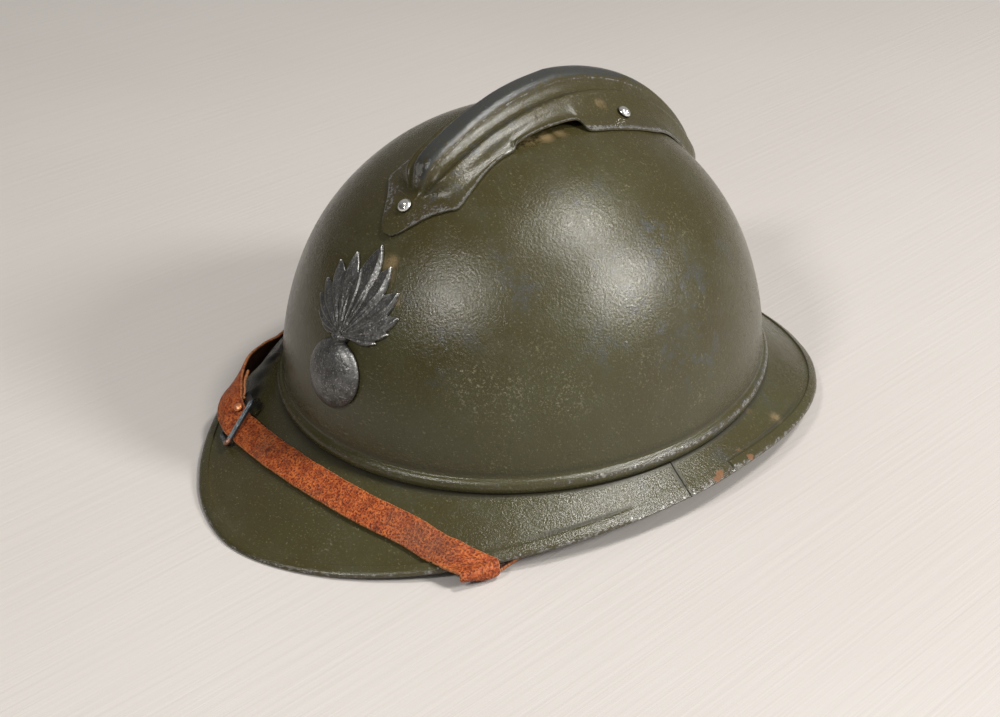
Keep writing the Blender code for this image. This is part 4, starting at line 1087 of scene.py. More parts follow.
def comb_half_rows(section):
    """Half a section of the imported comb, as (across, height); the rivets' seats are read from it."""
    half, crest = section[1] * COMB_HALF, section[2] * COMB_HEIGHT
    lift = clamp(section[3]) * NOTCH_LIFT
    pinch = drawn_in(half, crest)
    rib, step = RIB_HALF * pinch, STEP_OUT * pinch
    rows = [(share * rib, high * crest) for share, high in RIB_ROWS]
    rows += [(rib + share * (step - rib), high * crest) for share, high in STEP_ROWS]
    brow = STEP_ROWS[-1][1] * crest
    return rows + [(step + out * (half - step), lift + high * (brow - lift)) for out, high in SKIRT_ROWS]


# %% Make the comb
def make_comb():
    """The comb, and for each of its points the station, the share of the way out, and the crest."""
    outer, inner, places = [], [], []
    for section in smooth_rows(COMB_SECTIONS, 6):
        station = section[0]
        half = pressed_half_rows(section, 3)
        rows = [(-x, h) for x, h in reversed(half[1:])] + half
        top, under = [], []
        for k, (x, h) in enumerate(rows):
            before, after = rows[max(k - 1, 0)], rows[min(k + 1, len(rows) - 1)]
            run = Vector((after[0] - before[0], after[1] - before[1])).normalized()
            if k in (0, len(rows) - 1):
                run = Vector((1, 0))
            top.append(over_bowl(station, x, COMB_SEAT + STEEL + h))
            under.append(over_bowl(station, x + run.y * STEEL, COMB_SEAT + STEEL + h - run.x * STEEL))
            places.append((station, abs(k - len(half) + 1) / (len(half) - 1), section[2]))
        outer.append(top)
        inner.append(under)
    comb = make_piece("comb_crest", *sheet_mesh(outer, inner), [olive_paint], "olive_paint", ["comb"], 50)
    return comb, places


def comb_black(place):
    """The crest is rubbed to black steel from its front nose to past its middle."""
    station, out, crest = place
    along = soft(station, 57, 60) * soft(125 - station, 0, 22)
    return soft(0.205 - out, 0, 0.05) * soft(crest, 0.15, 0.5) * along * 0.56


def comb_edge_and_highlights(place):
    """Bare metal on the outer border, the front tab and the front nose, and painted highlights along the
    ribs' crests.
    """
    station, out, crest = place
    tall = soft(crest, 0.2, 0.5)
    # painted highlights along the top rib's shoulder and the second rib's crest
    crest_highlight = soft(0.028 - abs(out - 0.225), 0, 0.024) * tall * 0.52 * soft(140 - station, 0, 30)
    rib = soft(0.045 - abs(out - 0.60), 0, 0.04) * tall * 0.30 * soft(120 - station, 0, 30)
    foot = soft(out, 0.955, 0.99) * 0.68
    tab = soft(out, 0.66, 0.92) * soft(61 - station, 0, 4) * soft(station, 48, 51) * 0.42
    nose = soft(3.0 - abs(station - 60.3), 0, 2.2) * soft(0.12 - out, 0, 0.08) * 0.62
    return max(crest_highlight, rib, foot, tab, nose)


def comb_groove_dark(place):
    """Darker in the groove between the two ribs."""
    _, out, crest = place
    return soft(0.06 - abs(out - 0.44), 0, 0.06) * 0.55 * soft(crest, 0.3, 0.6)


comb, comb_places = make_comb()
comb_surface = surface_of(comb)
comb_tan_spots = spots_on(comb_surface, ((600, 104, 3.4, 0.9), (592, 107, 2.6, 0.5)))
# rubbed spots and scuffs; along the skirt they also paint its sheen
comb_rubs_and_sheen = spots_on(comb_surface, (
    (440, 200, 9, 0.5), (415, 215, 8, 0.5), (470, 165, 9, 0.35), (520, 120, 10, 0.3),
    (560, 100, 10, 0.3), (455, 180, 8, 0.6), (472, 150, 9, 0.9), (488, 138, 9, 0.8),
    (462, 168, 8, 0.8), (508, 124, 8, 0.6), (535, 108, 9, 0.5), (575, 97, 8, 0.5)))
for name, rule in (("black", comb_black), ("edge", comb_edge_and_highlights), ("dirt_and_shade", comb_groove_dark)):
    write_values(comb, name, [rule(place) for place in comb_places])
mark_spots(comb, "tan", comb_tan_spots)
mark_spots(comb, "rub", comb_rubs_and_sheen)
mark_spots(comb, "scuff", comb_rubs_and_sheen, 0.8)
print("rubbed places found on the comb:", len(comb_rubs_and_sheen))


# %% [markdown]
# ## Rivets
#
# Four rivets hold the comb: one in each nose and one in each side tab. Their heads are low domes,
# and the punch left a small dimple in each. They are turned: one outline goes round an axis, and the
# points near the dimple are pushed in.

# %% Make the rivets
RIVET_RADIUS, RIVET_DOME, RIVET_CLEAR = 0.0029, 0.0018, 0.0007
SHANK_RADIUS, RIVET_TAIL = 0.0012, 0.0009
DIMPLE_RADIUS, DIMPLE_DEEP = 0.00085, 0.00045
SIDE_RIVET_OUT = 0.0185
RIVET_STATIONS = {"front": 54.0, "side": 107.0, "rear": 153.5}


def section_at(station):
    """The comb's table read between two of its rows."""
    for low, high in zip(COMB_SECTIONS, COMB_SECTIONS[1:]):
        if station <= high[0]:
            share = (station - low[0]) / (high[0] - low[0])
            return tuple(a + (b - a) * share for a, b in zip(low, high))
    return COMB_SECTIONS[-1]


def on_comb(station, across):
    """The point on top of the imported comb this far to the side."""
    rows = comb_half_rows(section_at(station))
    for low, high in zip(rows, rows[1:]):
        if abs(across) <= high[0]:
            share = (abs(across) - low[0]) / (high[0] - low[0])
            return over_bowl(station, across, COMB_SEAT + STEEL + low[1] + (high[1] - low[1]) * share)
    return over_bowl(station, across, COMB_SEAT + STEEL)


def rivet_place(which, side):
    """Where a rivet's head sits on the comb, the way its shank points out, and the depth it holds."""
    station = RIVET_STATIONS[which]
    across = SIDE_RIVET_OUT * side if which == "side" else 0.0
    seat = on_comb(station, across)
    ahead = on_comb(station + 1.2, across) - on_comb(station - 1.2, across)
    beside = on_comb(station, across + RIVET_RADIUS) - on_comb(station, across - RIVET_RADIUS)
    axis = upwards(beside.cross(ahead).normalized())
    through = seat - over_bowl(station, across, -STEEL)
    lean = acos(min(axis.dot(through.normalized()), 1))
    return seat, axis, through.length / cos(lean) + 2 * SHANK_RADIUS * sin(lean)


def make_rivet(node, which, side):
    seat, axis, held = rivet_place(which, side)
    deep, tail = held + 3 * GAP, SHANK_RADIUS * 1.5
    outline = [(-deep - RIVET_TAIL, 0.00001), (-deep - RIVET_TAIL, tail * 0.6),
               (-deep - RIVET_TAIL * 0.7, tail * 0.9), (-deep, tail), (-deep, SHANK_RADIUS),
               (RIVET_CLEAR * 0.2, SHANK_RADIUS), (RIVET_CLEAR * 0.2, RIVET_RADIUS * 0.97)]
    dome = len(outline)
    outline += [(RIVET_CLEAR + RIVET_DOME * sin(radians(a)), RIVET_RADIUS * cos(radians(a)))
                for a in (1, 8, 16, 25, 34, 43, 52, 61, 70, 78, 85, 89.7)]
    rings = turned_rings(seat, axis, outline, 36)
    # the dimple lies low on the side that faces the wearer's left
    dent = (Vector((0.75, -0.25, 0.2)) - axis * 0.3).normalized()
    dent = (dent - axis * dent.dot(axis)).normalized()
    middle = seat + axis * (RIVET_CLEAR + RIVET_DOME * 0.86) + dent * RIVET_RADIUS * 0.52
    for ring in rings[dome:]:
        for k, p in enumerate(ring):
            push = soft(DIMPLE_RADIUS - (p - middle).length, 0, 0.0007)
            ring[k] = p - axis * push * DIMPLE_DEEP
    rivet = make_piece(node + "_head", *loops_mesh(rings), [bright_steel], "bright_steel", [node], 50)
    rim = seat + axis * RIVET_CLEAR
    mark(rivet, "dirt_and_shade", lambda p: max(soft(0.0007 - (p - middle).length, 0, 0.0005),
                                      soft(0.0005 - (p - rim).dot(axis), 0, 0.0005)))


for node, which, side in (("rivet_front", "front", 0), ("rivet_left", "side", 1),
                          ("rivet_right", "side", -1), ("rivet_rear", "rear", 0)):
    make_rivet(node, which, side)


# %% [markdown]
# ## The flaming grenade
#
# The badge is a traditional ornament: a ball, a small collar and a fan of flames, stamped in one
# piece. It could be drawn as a height map, but the tongues overlap like leaves, with one sharp
# ridge each. So every tongue is a small curved leaf on the bowl, leaves and ball are put together,
# and a voxel remesh melts them into one casting. The high and the hollow places are then found from
# the mesh itself and rubbed bright or left dark.

# %% Sizes and tongues of the badge
BALL_RADIUS, BALL_RELIEF, FLAME_LENGTH, FLAME_RELIEF = 0.0138, 0.0050, 0.0370, 0.0024
BADGE_RIM, NECK_HALF, FLAME_ROOT, FLAME_ASIDE, BALL_STATION = 0.0008, 0.0042, 0.0024, 0.0013, 16.2
SEAT, MELT_GRAIN = GAP * 1.5, 0.00027
# the collar in sections: half width, place over the ball's edge in ball radii, and height
COLLAR = ((0.85, -0.20, 0.9), (0.66, -0.05, 1.0), (0.90, 0.04, 1.45), (0.92, 0.12, 1.45),
          (0.58, 0.20, 0.8), (0.66, 0.32, 0.9), (1.10, 0.50, 1.0))
# turn from upright and length as a share, both at the tip, half width and curl in degrees, and layer
TONGUES = (
    (-91, 0.37, 9, 4, 0.0), (-79, 0.50, 9, 4, 0.2), (-65, 0.63, 9, 4, 0.1), (-51, 0.71, 10, 4, 0.3),
    (-34, 0.82, 11, 3, 0.1), (-18, 0.87, 10, 2, 0.3), (0, 1.00, 11, -3, 0.1), (16, 0.88, 11, -5, 0.5),
    (36, 0.79, 12, -5, 0.2), (55, 0.70, 11, -5, 0.6), (69, 0.57, 9, -2, 0.2), (82, 0.43, 9, -1, 0.4),
    (-58, 0.44, 6, 3, 1.0), (-38, 0.55, 6, 3, 1.1), (-24, 0.64, 6, 2, 1.0), (-8, 0.70, 7, -2, 1.2),
    (9, 0.62, 6, -4, 1.0), (27, 0.56, 7, -5, 1.3), (47, 0.50, 7, -5, 1.0), (63, 0.40, 7, -4, 1.2),
    (-14, 0.40, 6, 0, 1.9), (4, 0.42, 6, -3, 2.0), (30, 0.34, 8, -4, 1.8), (-36, 0.34, 7, 3, 1.8),
)


def on_badge(across, up, height):
    """A point of the badge: across and up are measured on the bowl from the middle of the ball."""
    return over_bowl(station_after(BALL_STATION, up) if up else BALL_STATION, across, height)


def tongue(turn, length, half, curl, layer):
    """One leaf of the flame, with its ridge towards the side that it leans to."""
    root = BALL_RADIUS + FLAME_ROOT
    lean = 1 if turn >= -8 else -1
    upper, lower = [], []
    steps = 14
    for i in range(steps + 1):
        t = 0.08 + 0.92 * i / steps
        reach = t * length * FLAME_LENGTH
        way = radians(turn - curl * 1.6 * (1 - t) ** 0.8)
        point = clamp((t - 0.60) / 0.40)
        wide = (0.0005 + 0.92 * reach * radians(half)) * (1 - point ** 1.5) + 0.00010
        rise = BADGE_RIM + FLAME_RELIEF * (0.34 * (1 - t) ** 0.8 + 0.13 * layer * (1 - 0.5 * t))
        top, under = [], []
        for u in (-1, -0.75, -0.45, -0.15, 0.15, 0.38, 0.55, 0.72, 0.88, 1):
            ridge = ((u + 1) / 1.55) ** 1.3 if u < 0.55 else 1 - 0.85 * ((u - 0.55) / 0.45) ** 1.2
            if u > -1:
                ridge = max(ridge, 0.0) * (1 - 0.40 * t)
            across = reach * sin(way) + lean * u * wide * cos(way) + FLAME_ASIDE
            up = root + reach * cos(way) - lean * u * wide * sin(way)
            high = rise + FLAME_RELIEF * 0.50 * ridge
            high += noise.noise(Vector((across, up, layer)) / 0.0012) * 0.00008
            top.append(on_badge(across, up, SEAT + high))
            under.append(on_badge(across, up, SEAT))
        upper.append(top)
        lower.append(under)
    return sheet_mesh(upper, lower)


def ball_ring(reach, height, sides=60):
    return [on_badge(reach * sin(2 * pi * j / sides), reach * cos(2 * pi * j / sides), height)
            for j in range(sides)]


def ball_and_collar():
    rings = []
    for k in range(17):
        a = radians(3 + 87 * k / 16)
        rings.append(ball_ring(BALL_RADIUS * sin(a), SEAT + BADGE_RIM + BALL_RELIEF * cos(a)))
    rings.append(ball_ring(BALL_RADIUS * 0.96, SEAT))
    # the collar is a waisted band with a small roll, lofted from half-round sections
    loops = []
    for half, up, high in COLLAR:
        reach, aside = BALL_RADIUS * (1 + up), FLAME_ASIDE * clamp(up * 2)
        loop = []
        for j in range(17):
            a = pi * j / 16
            height = SEAT + BADGE_RIM * 0.9 + FLAME_RELIEF * high * sin(a) ** 0.8
            loop.append(on_badge(NECK_HALF * half * cos(a) + aside, reach, height))
        loops.append(loop + [on_badge(NECK_HALF * half * x + aside, reach, SEAT) for x in (-1, 0, 1)])
    return [loops_mesh(rings), loops_mesh(loops)]


# %% Melt the badge into one casting
def mark_by_shape(piece, marks):
    """Finds the high and the hollow places of a fine mesh and writes them as edge and dirt."""
    work = bmesh.new()
    work.from_mesh(piece.data)
    bend = []
    for v in work.verts:
        around = [e.other_vert(v).co for e in v.link_edges]
        middle = sum(around, Vector()) / len(around)
        size = sum((a - v.co).length for a in around) / len(around)
        bend.append((v.co - middle).dot(v.normal) / size)
    links = [[e.other_vert(v).index for e in v.link_edges] for v in work.verts]
    for _ in range(3):
        bend = [(b + sum(bend[j] for j in near) / len(near)) / 2 for b, near in zip(bend, links)]
    work.free()
    for name, low, high, sign, most in marks:
        write_values(piece, name, [most * soft(sign * b, low, high) for b in bend])


def make_badge():
    points, faces = [], []
    for more, sides in ball_and_collar() + [tongue(*row) for row in TONGUES]:
        faces += [tuple(len(points) + k for k in side) for side in sides]
        points += more
    badge = make_piece("grenade_badge_relief", points, faces, [pewter], "dark_pewter", ["grenade_badge"], 60)
    melt = badge.modifiers.new("melt", "REMESH")
    melt.mode, melt.voxel_size = "VOXEL", MELT_GRAIN
    calm = badge.modifiers.new("calm", "SMOOTH")
    calm.factor, calm.iterations = 0.5, 2
    settle(badge)
    shade(badge.data, 180)
    # mark, how much the surface must bend and where the mark is full, which way, and how strong
    mark_by_shape(badge, (("edge", 0.03, 0.15, 1, 0.74), ("dirt_and_shade", 0.02, 0.12, -1, 1.0)))
    return badge


badge = make_badge()
print("badge:", len(badge.data.polygons), "faces after melting")


# %% [markdown]
# ## The chin strap
#
# The strap lies over the visor from a fold on one side to a fold on the other, passes under the brim
# and ends on two hidden loops inside the bowl. Cloth simulation would have to guess its stiffness,
# and this leather has kept its set for decades, so the strip is modelled directly: a table says where
# its middle runs, how high it stands and how it tips, and sections are set across that line.

# %% The strap's table and its sections
STRAP_WIDTH, STRAP_THICK, STRAP_SEAT = 0.0130, 0.0016, 0.0007
FOLD_RADIUS, STRAP_LIFT, STRAP_RETURN = 0.0029, 0.0082, 0.0120
LOOP_WIRE, LOOP_SIDE, LOOP_DEEP, LOOP_CLEAR = 0.0014, 0.0022, 0.0110, 0.0030
LOOP_STATION, LOOP_HEIGHT, LOOP_CORNER = 0.0150, 0.0045, 0.0020
STRAP_RUN = (
    # angle, share of the way out over the brim, lift and tip, and how far it is cut at a slant
    (38.0, 1.115, 0.0000, 0.0, 0.48), (34.8, 0.94, 0.0000, 0.0, 0.34), (30.4, 0.725, 0.0000, 0.0, 0.14),
    (24.5, 0.500, 0.0000, 0.0, 0.0), (16.0, 0.345, 0.0000, 0.0, 0.0), (6.0, 0.255, 0.0000, 0.0, 0.0),
    (-4.0, 0.25, 0.0000, 0.0, 0.0), (-13.0, 0.32, 0.0000, 0.0, 0.0), (-20.0, 0.435, 0.0366, 0.0, 0.0),
    (-24.0, 0.56, 0.2927, 3.0, 0.0), (-27.5, 0.655, 0.7317, 9.0, 0.0), (-30.5, 0.68, 0.9512, 13.0, 0.0),
    (-33.5, 0.69, 1.0000, 22.0, 0.0), (-37.0, 0.65, 0.9756, 38.0, 0.0), (-40.5, 0.575, 0.8780, 48.0, 0.0),
    (-44.5, 0.45, 0.6900, 42.0, 0.0), (-49.0, 0.37, 0.4600, 26.0, 0.0), (-55.0, 0.36, 0.3400, 18.0, 0.0),
    (-61.0, 0.38, 0.3400, 18.0, 0.0), (-67.0, 0.44, 0.3800, 20.0, 0.0), (-72.0, 0.56, 0.3600, 18.0, 0.1),
    (-76.0, 0.76, 0.1951, 8.0, 0.5), (-79.5, 1.00, 0.0000, 0.0, 1.0),
)
HALF_COLUMNS = (0.05, 0.15, 0.25, 0.34, 0.41, 0.455, 0.485, 0.5)
STRAP_COLUMNS = tuple(-s for s in reversed(HALF_COLUMNS)) + HALF_COLUMNS
MIDDLE_COLUMN = len(HALF_COLUMNS)
STRAP_EDGE = {0.5: 0.45, 0.485: 0.72, 0.455: 0.90, 0.41: 0.98}      # the edges are pressed thin
FOLD_TURNS = range(15, 181, 15)                                     # degrees round a fold


def strap_run(steps):
    return smooth_rows([(row[0], row[1], row[2] * STRAP_LIFT, *row[3:]) for row in STRAP_RUN], steps)


def strap_middle(row):
    return over_brim(radians(row[0]), row[1], STRAP_SEAT + STRAP_THICK / 2 + row[2])


def edge_way(angle, step=0.01):
    """Along the brim's edge at this angle, and straight out from it."""
    before, after = (on_plan(a, edge_radius(a), 0) for a in (angle - step, angle + step))
    along = after - before
    return along / (2 * step), Vector((along.y, -along.x, 0)).normalized()


def strap_step(rows, i, reach=1):
    """From the strap's middle this many rows before to its middle this many rows after."""
    return strap_middle(rows[min(i + reach, len(rows) - 1)]) - strap_middle(rows[max(i - reach, 0)])


def strap_run_way(rows, i, reach=1):
    run = strap_step(rows, i, reach)
    return Vector((run.x, run.y, 0)).normalized()


def strap_cross(rows, i, reach=1):
    """The way across the strap at a row, from its outer to its inner edge."""
    run = strap_run_way(rows, i, reach)
    inward = Vector((run.y, -run.x, 0))
    middle = strap_middle(rows[i])
    ends = []
    for side in (-0.4, 0.4):
        spot = middle + inward * side * STRAP_WIDTH
        angle = atan2(spot.x, -spot.y)
        foot = foot_radius(angle)
        share = (hypot(spot.x, spot.y) - foot) / (edge_radius(angle) - foot)
        ends.append(brim_top(angle, clamp(share)))
    rise = atan2(ends[1] - ends[0], 0.8 * STRAP_WIDTH) + radians(rows[i][3])
    return inward * cos(rise) + Vector((0, 0, sin(rise)))


def strap_row(rows, i, reach):
    """The points across the strap at a row; a slanted row follows the brim's edge instead."""
    angle, out, lift, _, slant = rows[i]
    middle, cross = strap_middle(rows[i]), strap_cross(rows, i, reach)
    run = strap_run_way(rows, i, reach)
    along, _ = edge_way(radians(angle))
    sideways = run.y * along.x - run.x * along.y
    table_clear = 2 * FOLD_RADIUS + STRAP_THICK / 2 + GAP       # the fold stays off the table
    points = []
    for s in STRAP_COLUMNS:
        square = middle + cross * STRAP_WIDTH * s
        if slant > 0.001:
            shift = STRAP_WIDTH * s / sideways
            even = over_brim(radians(angle) + shift, out, STRAP_SEAT + STRAP_THICK / 2 + lift)
            square = square * (1 - slant) + even * slant
        square.z = max(square.z, table_clear)
        points.append(square)
    return points


# %% The hidden ends of the strap
def loop_bar(side):
    """The middle of the bar that the strap's end goes round, inside the bowl."""
    reach = BOWL_WIDTH / 2 - BEAD_STEP - STEEL - 3.7 * LOOP_WIRE - STRAP_WIDTH / 2 - LOOP_CLEAR
    return Vector((side * reach, LOOP_STATION, BOWL_FOOT + LOOP_HEIGHT))


def hidden_rows(start, heading, side, flip, steps=40, pull=0.40):
    """Rows from the fold to the loop inside the bowl, round its bar and back for the stitched end."""
    bar = loop_bar(side)
    wrap = LOOP_WIRE + GAP * 2 + STRAP_THICK / 2
    goal = [bar + Vector((flip * s * STRAP_WIDTH, 0, -wrap)) for s in STRAP_COLUMNS]
    rows = []
    for k in range(1, steps + 1):
        t = k / steps
        row = []
        for a, d in zip(start, goal):
            long = (d - a).length
            b, c = a + heading * long * pull, d - Vector((0, 1, 0)) * long * pull
            row.append(a * (1 - t) ** 3 + b * 3 * t * (1 - t) ** 2 + c * 3 * t * t * (1 - t) + d * t ** 3)
        rows.append(row)
    for lean in FOLD_TURNS:
        shift = Vector((0, sin(radians(lean)) * wrap, (1 - cos(radians(lean))) * wrap))
        rows.append([p + shift for p in goal])
    rows += [[p + Vector((0, -STRAP_RETURN * k / 8, 2 * wrap)) for p in goal] for k in range(1, 9)]
    return rows


def strap_end(edge, run, side):
    """The rows past a fold: round the hem, in under the brim and up to the loop."""
    outward = [edge_way(atan2(p.x, -p.y))[1] for p in edge]
    middle = outward[len(outward) // 2]
    heading = run - middle * 2 * run.dot(middle)
    # where the fold stands free of the hem it lies pressed together
    rows, bends = [], []
    for p in edge:
        free = hypot(p.x, p.y) - edge_radius(atan2(p.x, -p.y))
        bends.append(FOLD_RADIUS * (1 - 0.52 * soft(free, 0.0005, 0.0060)))
    for lean in FOLD_TURNS:
        sine, drop = sin(radians(lean)), Vector((0, 0, cos(radians(lean)) - 1))
        rows.append([p + (out * sine + drop) * bend for p, out, bend in zip(edge, outward, bends)])
    flip = 1 if (edge[-1].y - edge[0].y) * side > 0 else -1
    return rows + hidden_rows(rows[-1], heading, side, flip)


# %% Cut the leather strip
def strap_rows(steps=20):
    """The whole strap, from the end on the left loop to the end on the right one."""
    run = strap_run(steps)
    top = [strap_row(run, i, max(steps // 3, 1)) for i in range(len(run))]
    near = strap_end(top[0], -strap_run_way(run, 0, 6), 1)
    far = strap_end(top[-1], strap_run_way(run, len(run) - 1, 6), -1)
    return near[::-1] + top + far


def frayed(rows):
    """Small nicks and threads along both edges, and a slight waviness across the leather."""
    out, length = [], 0.0
    for i, row in enumerate(rows):
        if i:
            length += (row[MIDDLE_COLUMN] - rows[i - 1][MIDDLE_COLUMN]).length
        new = []
        for j, p in enumerate(row):
            s = STRAP_COLUMNS[j]
            if abs(s) > 0.4:
                side = 1 if s > 0 else -1
                nick = noise.noise(Vector((length / 0.0016, side * 7, 1))) * 0.00016
                nick += noise.noise(Vector((length / 0.006, side * 5, 4))) * 0.00022
                nick -= 0.0006 * soft(noise.noise(Vector((length / 0.0035, side * 3, 9))), 0.45, 0.62)
                way = (row[-1] - row[0]).normalized()
                p = p + way * side * nick * soft(abs(s), 0.40, 0.49)
            new.append(p)
        out.append(new)
    return out


def thicken(rows, thick):
    """The two faces of a strip whose middle is given, thinner towards its edges."""
    under, over = [], []
    for i, row in enumerate(rows):
        before, after = rows[max(i - 1, 0)], rows[min(i + 1, len(rows) - 1)]
        flesh_row, grain_row = [], []
        for j, point in enumerate(row):
            across = row[min(j + 1, len(row) - 1)] - row[max(j - 1, 0)]
            normal = (after[j] - before[j]).cross(across).normalized()
            half = thick / 2 * STRAP_EDGE.get(abs(STRAP_COLUMNS[j]), 1.0)
            flesh_row.append(point + normal * half)
            grain_row.append(point - normal * half)
        under.append(flesh_row)
        over.append(grain_row)
    return under, over


def strap_values(rows):
    """The lengths along and across the leather at every point of a strip."""
    places, length = [], 0.0
    for i, row in enumerate(rows):
        if i:
            length += (row[MIDDLE_COLUMN] - rows[i - 1][MIDDLE_COLUMN]).length
        places += [(length, s * STRAP_WIDTH, 0.0) for s in STRAP_COLUMNS]
    return places


def make_leather(name, rows, thick, stands_for):
    """A strip of leather with its flesh side below, and the place of each point along and across it."""
    under, over = thicken(frayed(rows), thick)
    strip = make_piece(name, *sheet_mesh(under, over), [shaded_flesh, leather], "brown_leather", stands_for, 70)
    places = strap_values(rows)
    kept = strip.data.attributes.new("strap_place", "FLOAT_VECTOR", "POINT")
    for item, place in zip(kept.data, places + places):
        item.vector = place
    count = len(places)
    for face in strip.data.polygons:
        face.material_index = 0 if all(v < count for v in face.vertices) else 1
    return strip, places


strap, strap_places = make_leather("strap_leather", strap_rows(), STRAP_THICK, ["chin_strap"])
strap_surface = surface_of(strap)
stains = spots_on(strap_surface, (
    (268, 450, 3.2, 0.8), (376, 528, 3.0, 0.8), (330, 495, 3.5, 0.5), (300, 470, 4, 0.4),
    (455, 560, 3.5, 0.5), (250, 432, 3, 0.4), (410, 540, 3, 0.4)))
dusty = spots_on(strap_surface, (
    (262, 450, 7, 0.6), (415, 536, 11, 0.9), (436, 547, 10, 0.8), (396, 520, 8, 0.5),
    (245, 405, 5, 0.4)))
edge_values = [soft(abs(place[1]) / STRAP_WIDTH, 0.435, 0.49) * 0.62 for place in strap_places]
write_values(strap, "edge", edge_values + edge_values)
mark_spots(strap, "dirt_and_shade", stains)
mark_spots(strap, "tan", dusty)
print("strap length", round(strap_places[-1][0] * 1000), "mm")


# %% [markdown]
# ## Buckle, stud and loops
#
# The strap weaves through a wire frame: its near bar lies over the leather, its far side, hammered
# flat, lies under it. The strap's own end is turned back under it there and held by a small copper
# stud. Each frame is a closed path with rounded corners and a round wire swept along it; where the
# wire was hammered, the round becomes a flat oval.

# %% Wire frames
BUCKLE_WIDTH, BUCKLE_SPAN, BUCKLE_WIRE, BUCKLE_CLEAR = 0.0235, 0.0110, 0.0011, 0.0013
BUCKLE_ANGLE, BUCKLE_SKEW, BUCKLE_CORNER = -22.2, 26.0, 0.0021
STUD_RADIUS, STUD_DOME, STUD_SIDE = 0.0019, 0.0013, 0.30


def rounded_path(corners, radius, bend_steps=7, side_steps=8):
    """A closed path through four corners, with arcs for corners; each point says which side it is on."""
    path = []
    for k, corner in enumerate(corners):
        start = corner + (corners[k - 1] - corner).normalized() * radius
        end = corner + (corners[(k + 1) % 4] - corner).normalized() * radius
        path += [(start * (1 - t) ** 2 + corner * 2 * t * (1 - t) + end * t * t, k - 0.5 + t)
                 for t in (j / bend_steps for j in range(bend_steps + 1))]
        far = corners[(k + 1) % 4] + (corner - corners[(k + 1) % 4]).normalized() * radius
        path += [(end + (far - end) * j / side_steps, k + 0.5) for j in range(1, side_steps)]
    return path


def wire_frame(corners, radius, wire, flat_side=None, sides=16):
    """Round wire along the path; on one side of the frame it is hammered flat."""
    path = rounded_path(corners, radius)
    centre = sum(corners, Vector()) / 4
    normal = (corners[1] - corners[0]).cross(corners[2] - corners[1]).normalized()
    loops = []
    for k, (point, where) in enumerate(path):
        run = (path[(k + 1) % len(path)][0] - path[k - 1][0]).normalized()
        side = run.cross(normal).normalized()
        side = -side if side.dot(point - centre) < 0 else side
        flat = 0.0 if flat_side is None else soft(0.62 - abs(where - flat_side), 0, 0.35)
        wide, tall = wire * (1 + 0.55 * flat), wire * (1 - 0.35 * flat)
        wobble = 1 + noise.noise(point / 0.003) * 0.05
        loops.append([point - side * wire * 0.5 * flat + side * wide * wobble * cos(2 * pi * j / sides)
                      + normal * tall * wobble * sin(2 * pi * j / sides) for j in range(sides)])
    return loops_mesh(loops, closed=True)


fine_run = strap_run(24)


def nearest_row(angle):
    return min(range(1, len(fine_run) - 1), key=lambda k: abs(fine_run[k][0] - angle))


def strap_place_at(angle):
    """Middle, cross direction and outward normal of the strap at an angle of its run."""
    i = nearest_row(angle)
    cross = strap_cross(fine_run, i)
    normal = strap_step(fine_run, i).normalized().cross(cross).normalized()
    return strap_middle(fine_run[i]), cross, upwards(normal)


def angle_after(angle, run_length):
    """The angle of the strap's run this far on towards its far fold."""
    i = nearest_row(angle)
    while run_length > 0 and i + 1 < len(fine_run):
        run_length -= (strap_middle(fine_run[i + 1]) - strap_middle(fine_run[i])).length
        i += 1
    return fine_run[i][0]


def buckle_corners():
    """The near bar lies over the strap and the far bar under it, at a skew."""
    clear = STRAP_THICK / 2 + BUCKLE_CLEAR + BUCKLE_WIRE
    near, near_cross, near_normal = strap_place_at(BUCKLE_ANGLE)
    far, far_cross, far_normal = strap_place_at(angle_after(BUCKLE_ANGLE, BUCKLE_SPAN))
    cross = (near_cross + far_cross).normalized()
    cross.rotate(Matrix.Rotation(radians(BUCKLE_SKEW), 3, near_normal + far_normal))
    half = BUCKLE_WIDTH / 2 - BUCKLE_WIRE
    near, far = near + near_normal * clear, far - far_normal * clear
    return [near - cross * half, near + cross * half, far + cross * half, far - cross * half]


corners = buckle_corners()
buckle = make_piece("buckle_wire", *wire_frame(corners, BUCKLE_CORNER, BUCKLE_WIRE, flat_side=1.5),
                    [black_iron], "black_iron", ["buckle_frame"], 60)
# one end is coppery, and a highlight is painted along the top of the near bar
mark(buckle, "rust", lambda p: 0.9 * soft(0.0036 - (p - corners[0]).length, 0, 0.002))
top_line = (corners[0] - corners[1]).normalized()
buckle_up = upwards((corners[1] - corners[0]).cross(corners[2] - corners[1]).normalized())
mark(buckle, "edge", lambda p: 0.75 * soft((p - corners[0]).dot(buckle_up), 0.0003, 0.0010)
     * soft(0.0014 - abs((p - corners[0]).cross(top_line).length - 0.0003), 0, 0.0006))

place, cross, normal = strap_place_at(angle_after(BUCKLE_ANGLE, BUCKLE_SPAN * 0.80))
stud_seat = place + cross * STRAP_WIDTH * STUD_SIDE + normal * (STRAP_THICK / 2 + GAP * 2.5)
profile = [(-GAP * 2, STUD_RADIUS * 0.9), (0, STUD_RADIUS * 0.97)]
profile += [(STUD_DOME * 0.3 + STUD_DOME * 0.7 * sin(radians(a)), STUD_RADIUS * cos(radians(a)))
            for a in (1, 12, 24, 36, 48, 60, 72, 82, 89.5)]
stud = make_piece("stud_copper", *loops_mesh(turned_rings(stud_seat, normal, profile, 32)), [copper],
                  "copper", ["strap_stud"], 60)
mark(stud, "dirt_and_shade", lambda p: 0.85 * soft(0.00055 - (p - stud_seat).dot(normal), 0, 0.0005))
mark(stud, "edge", lambda p: 0.45 * soft((p - stud_seat).dot(normal), 0.0008, 0.0013))

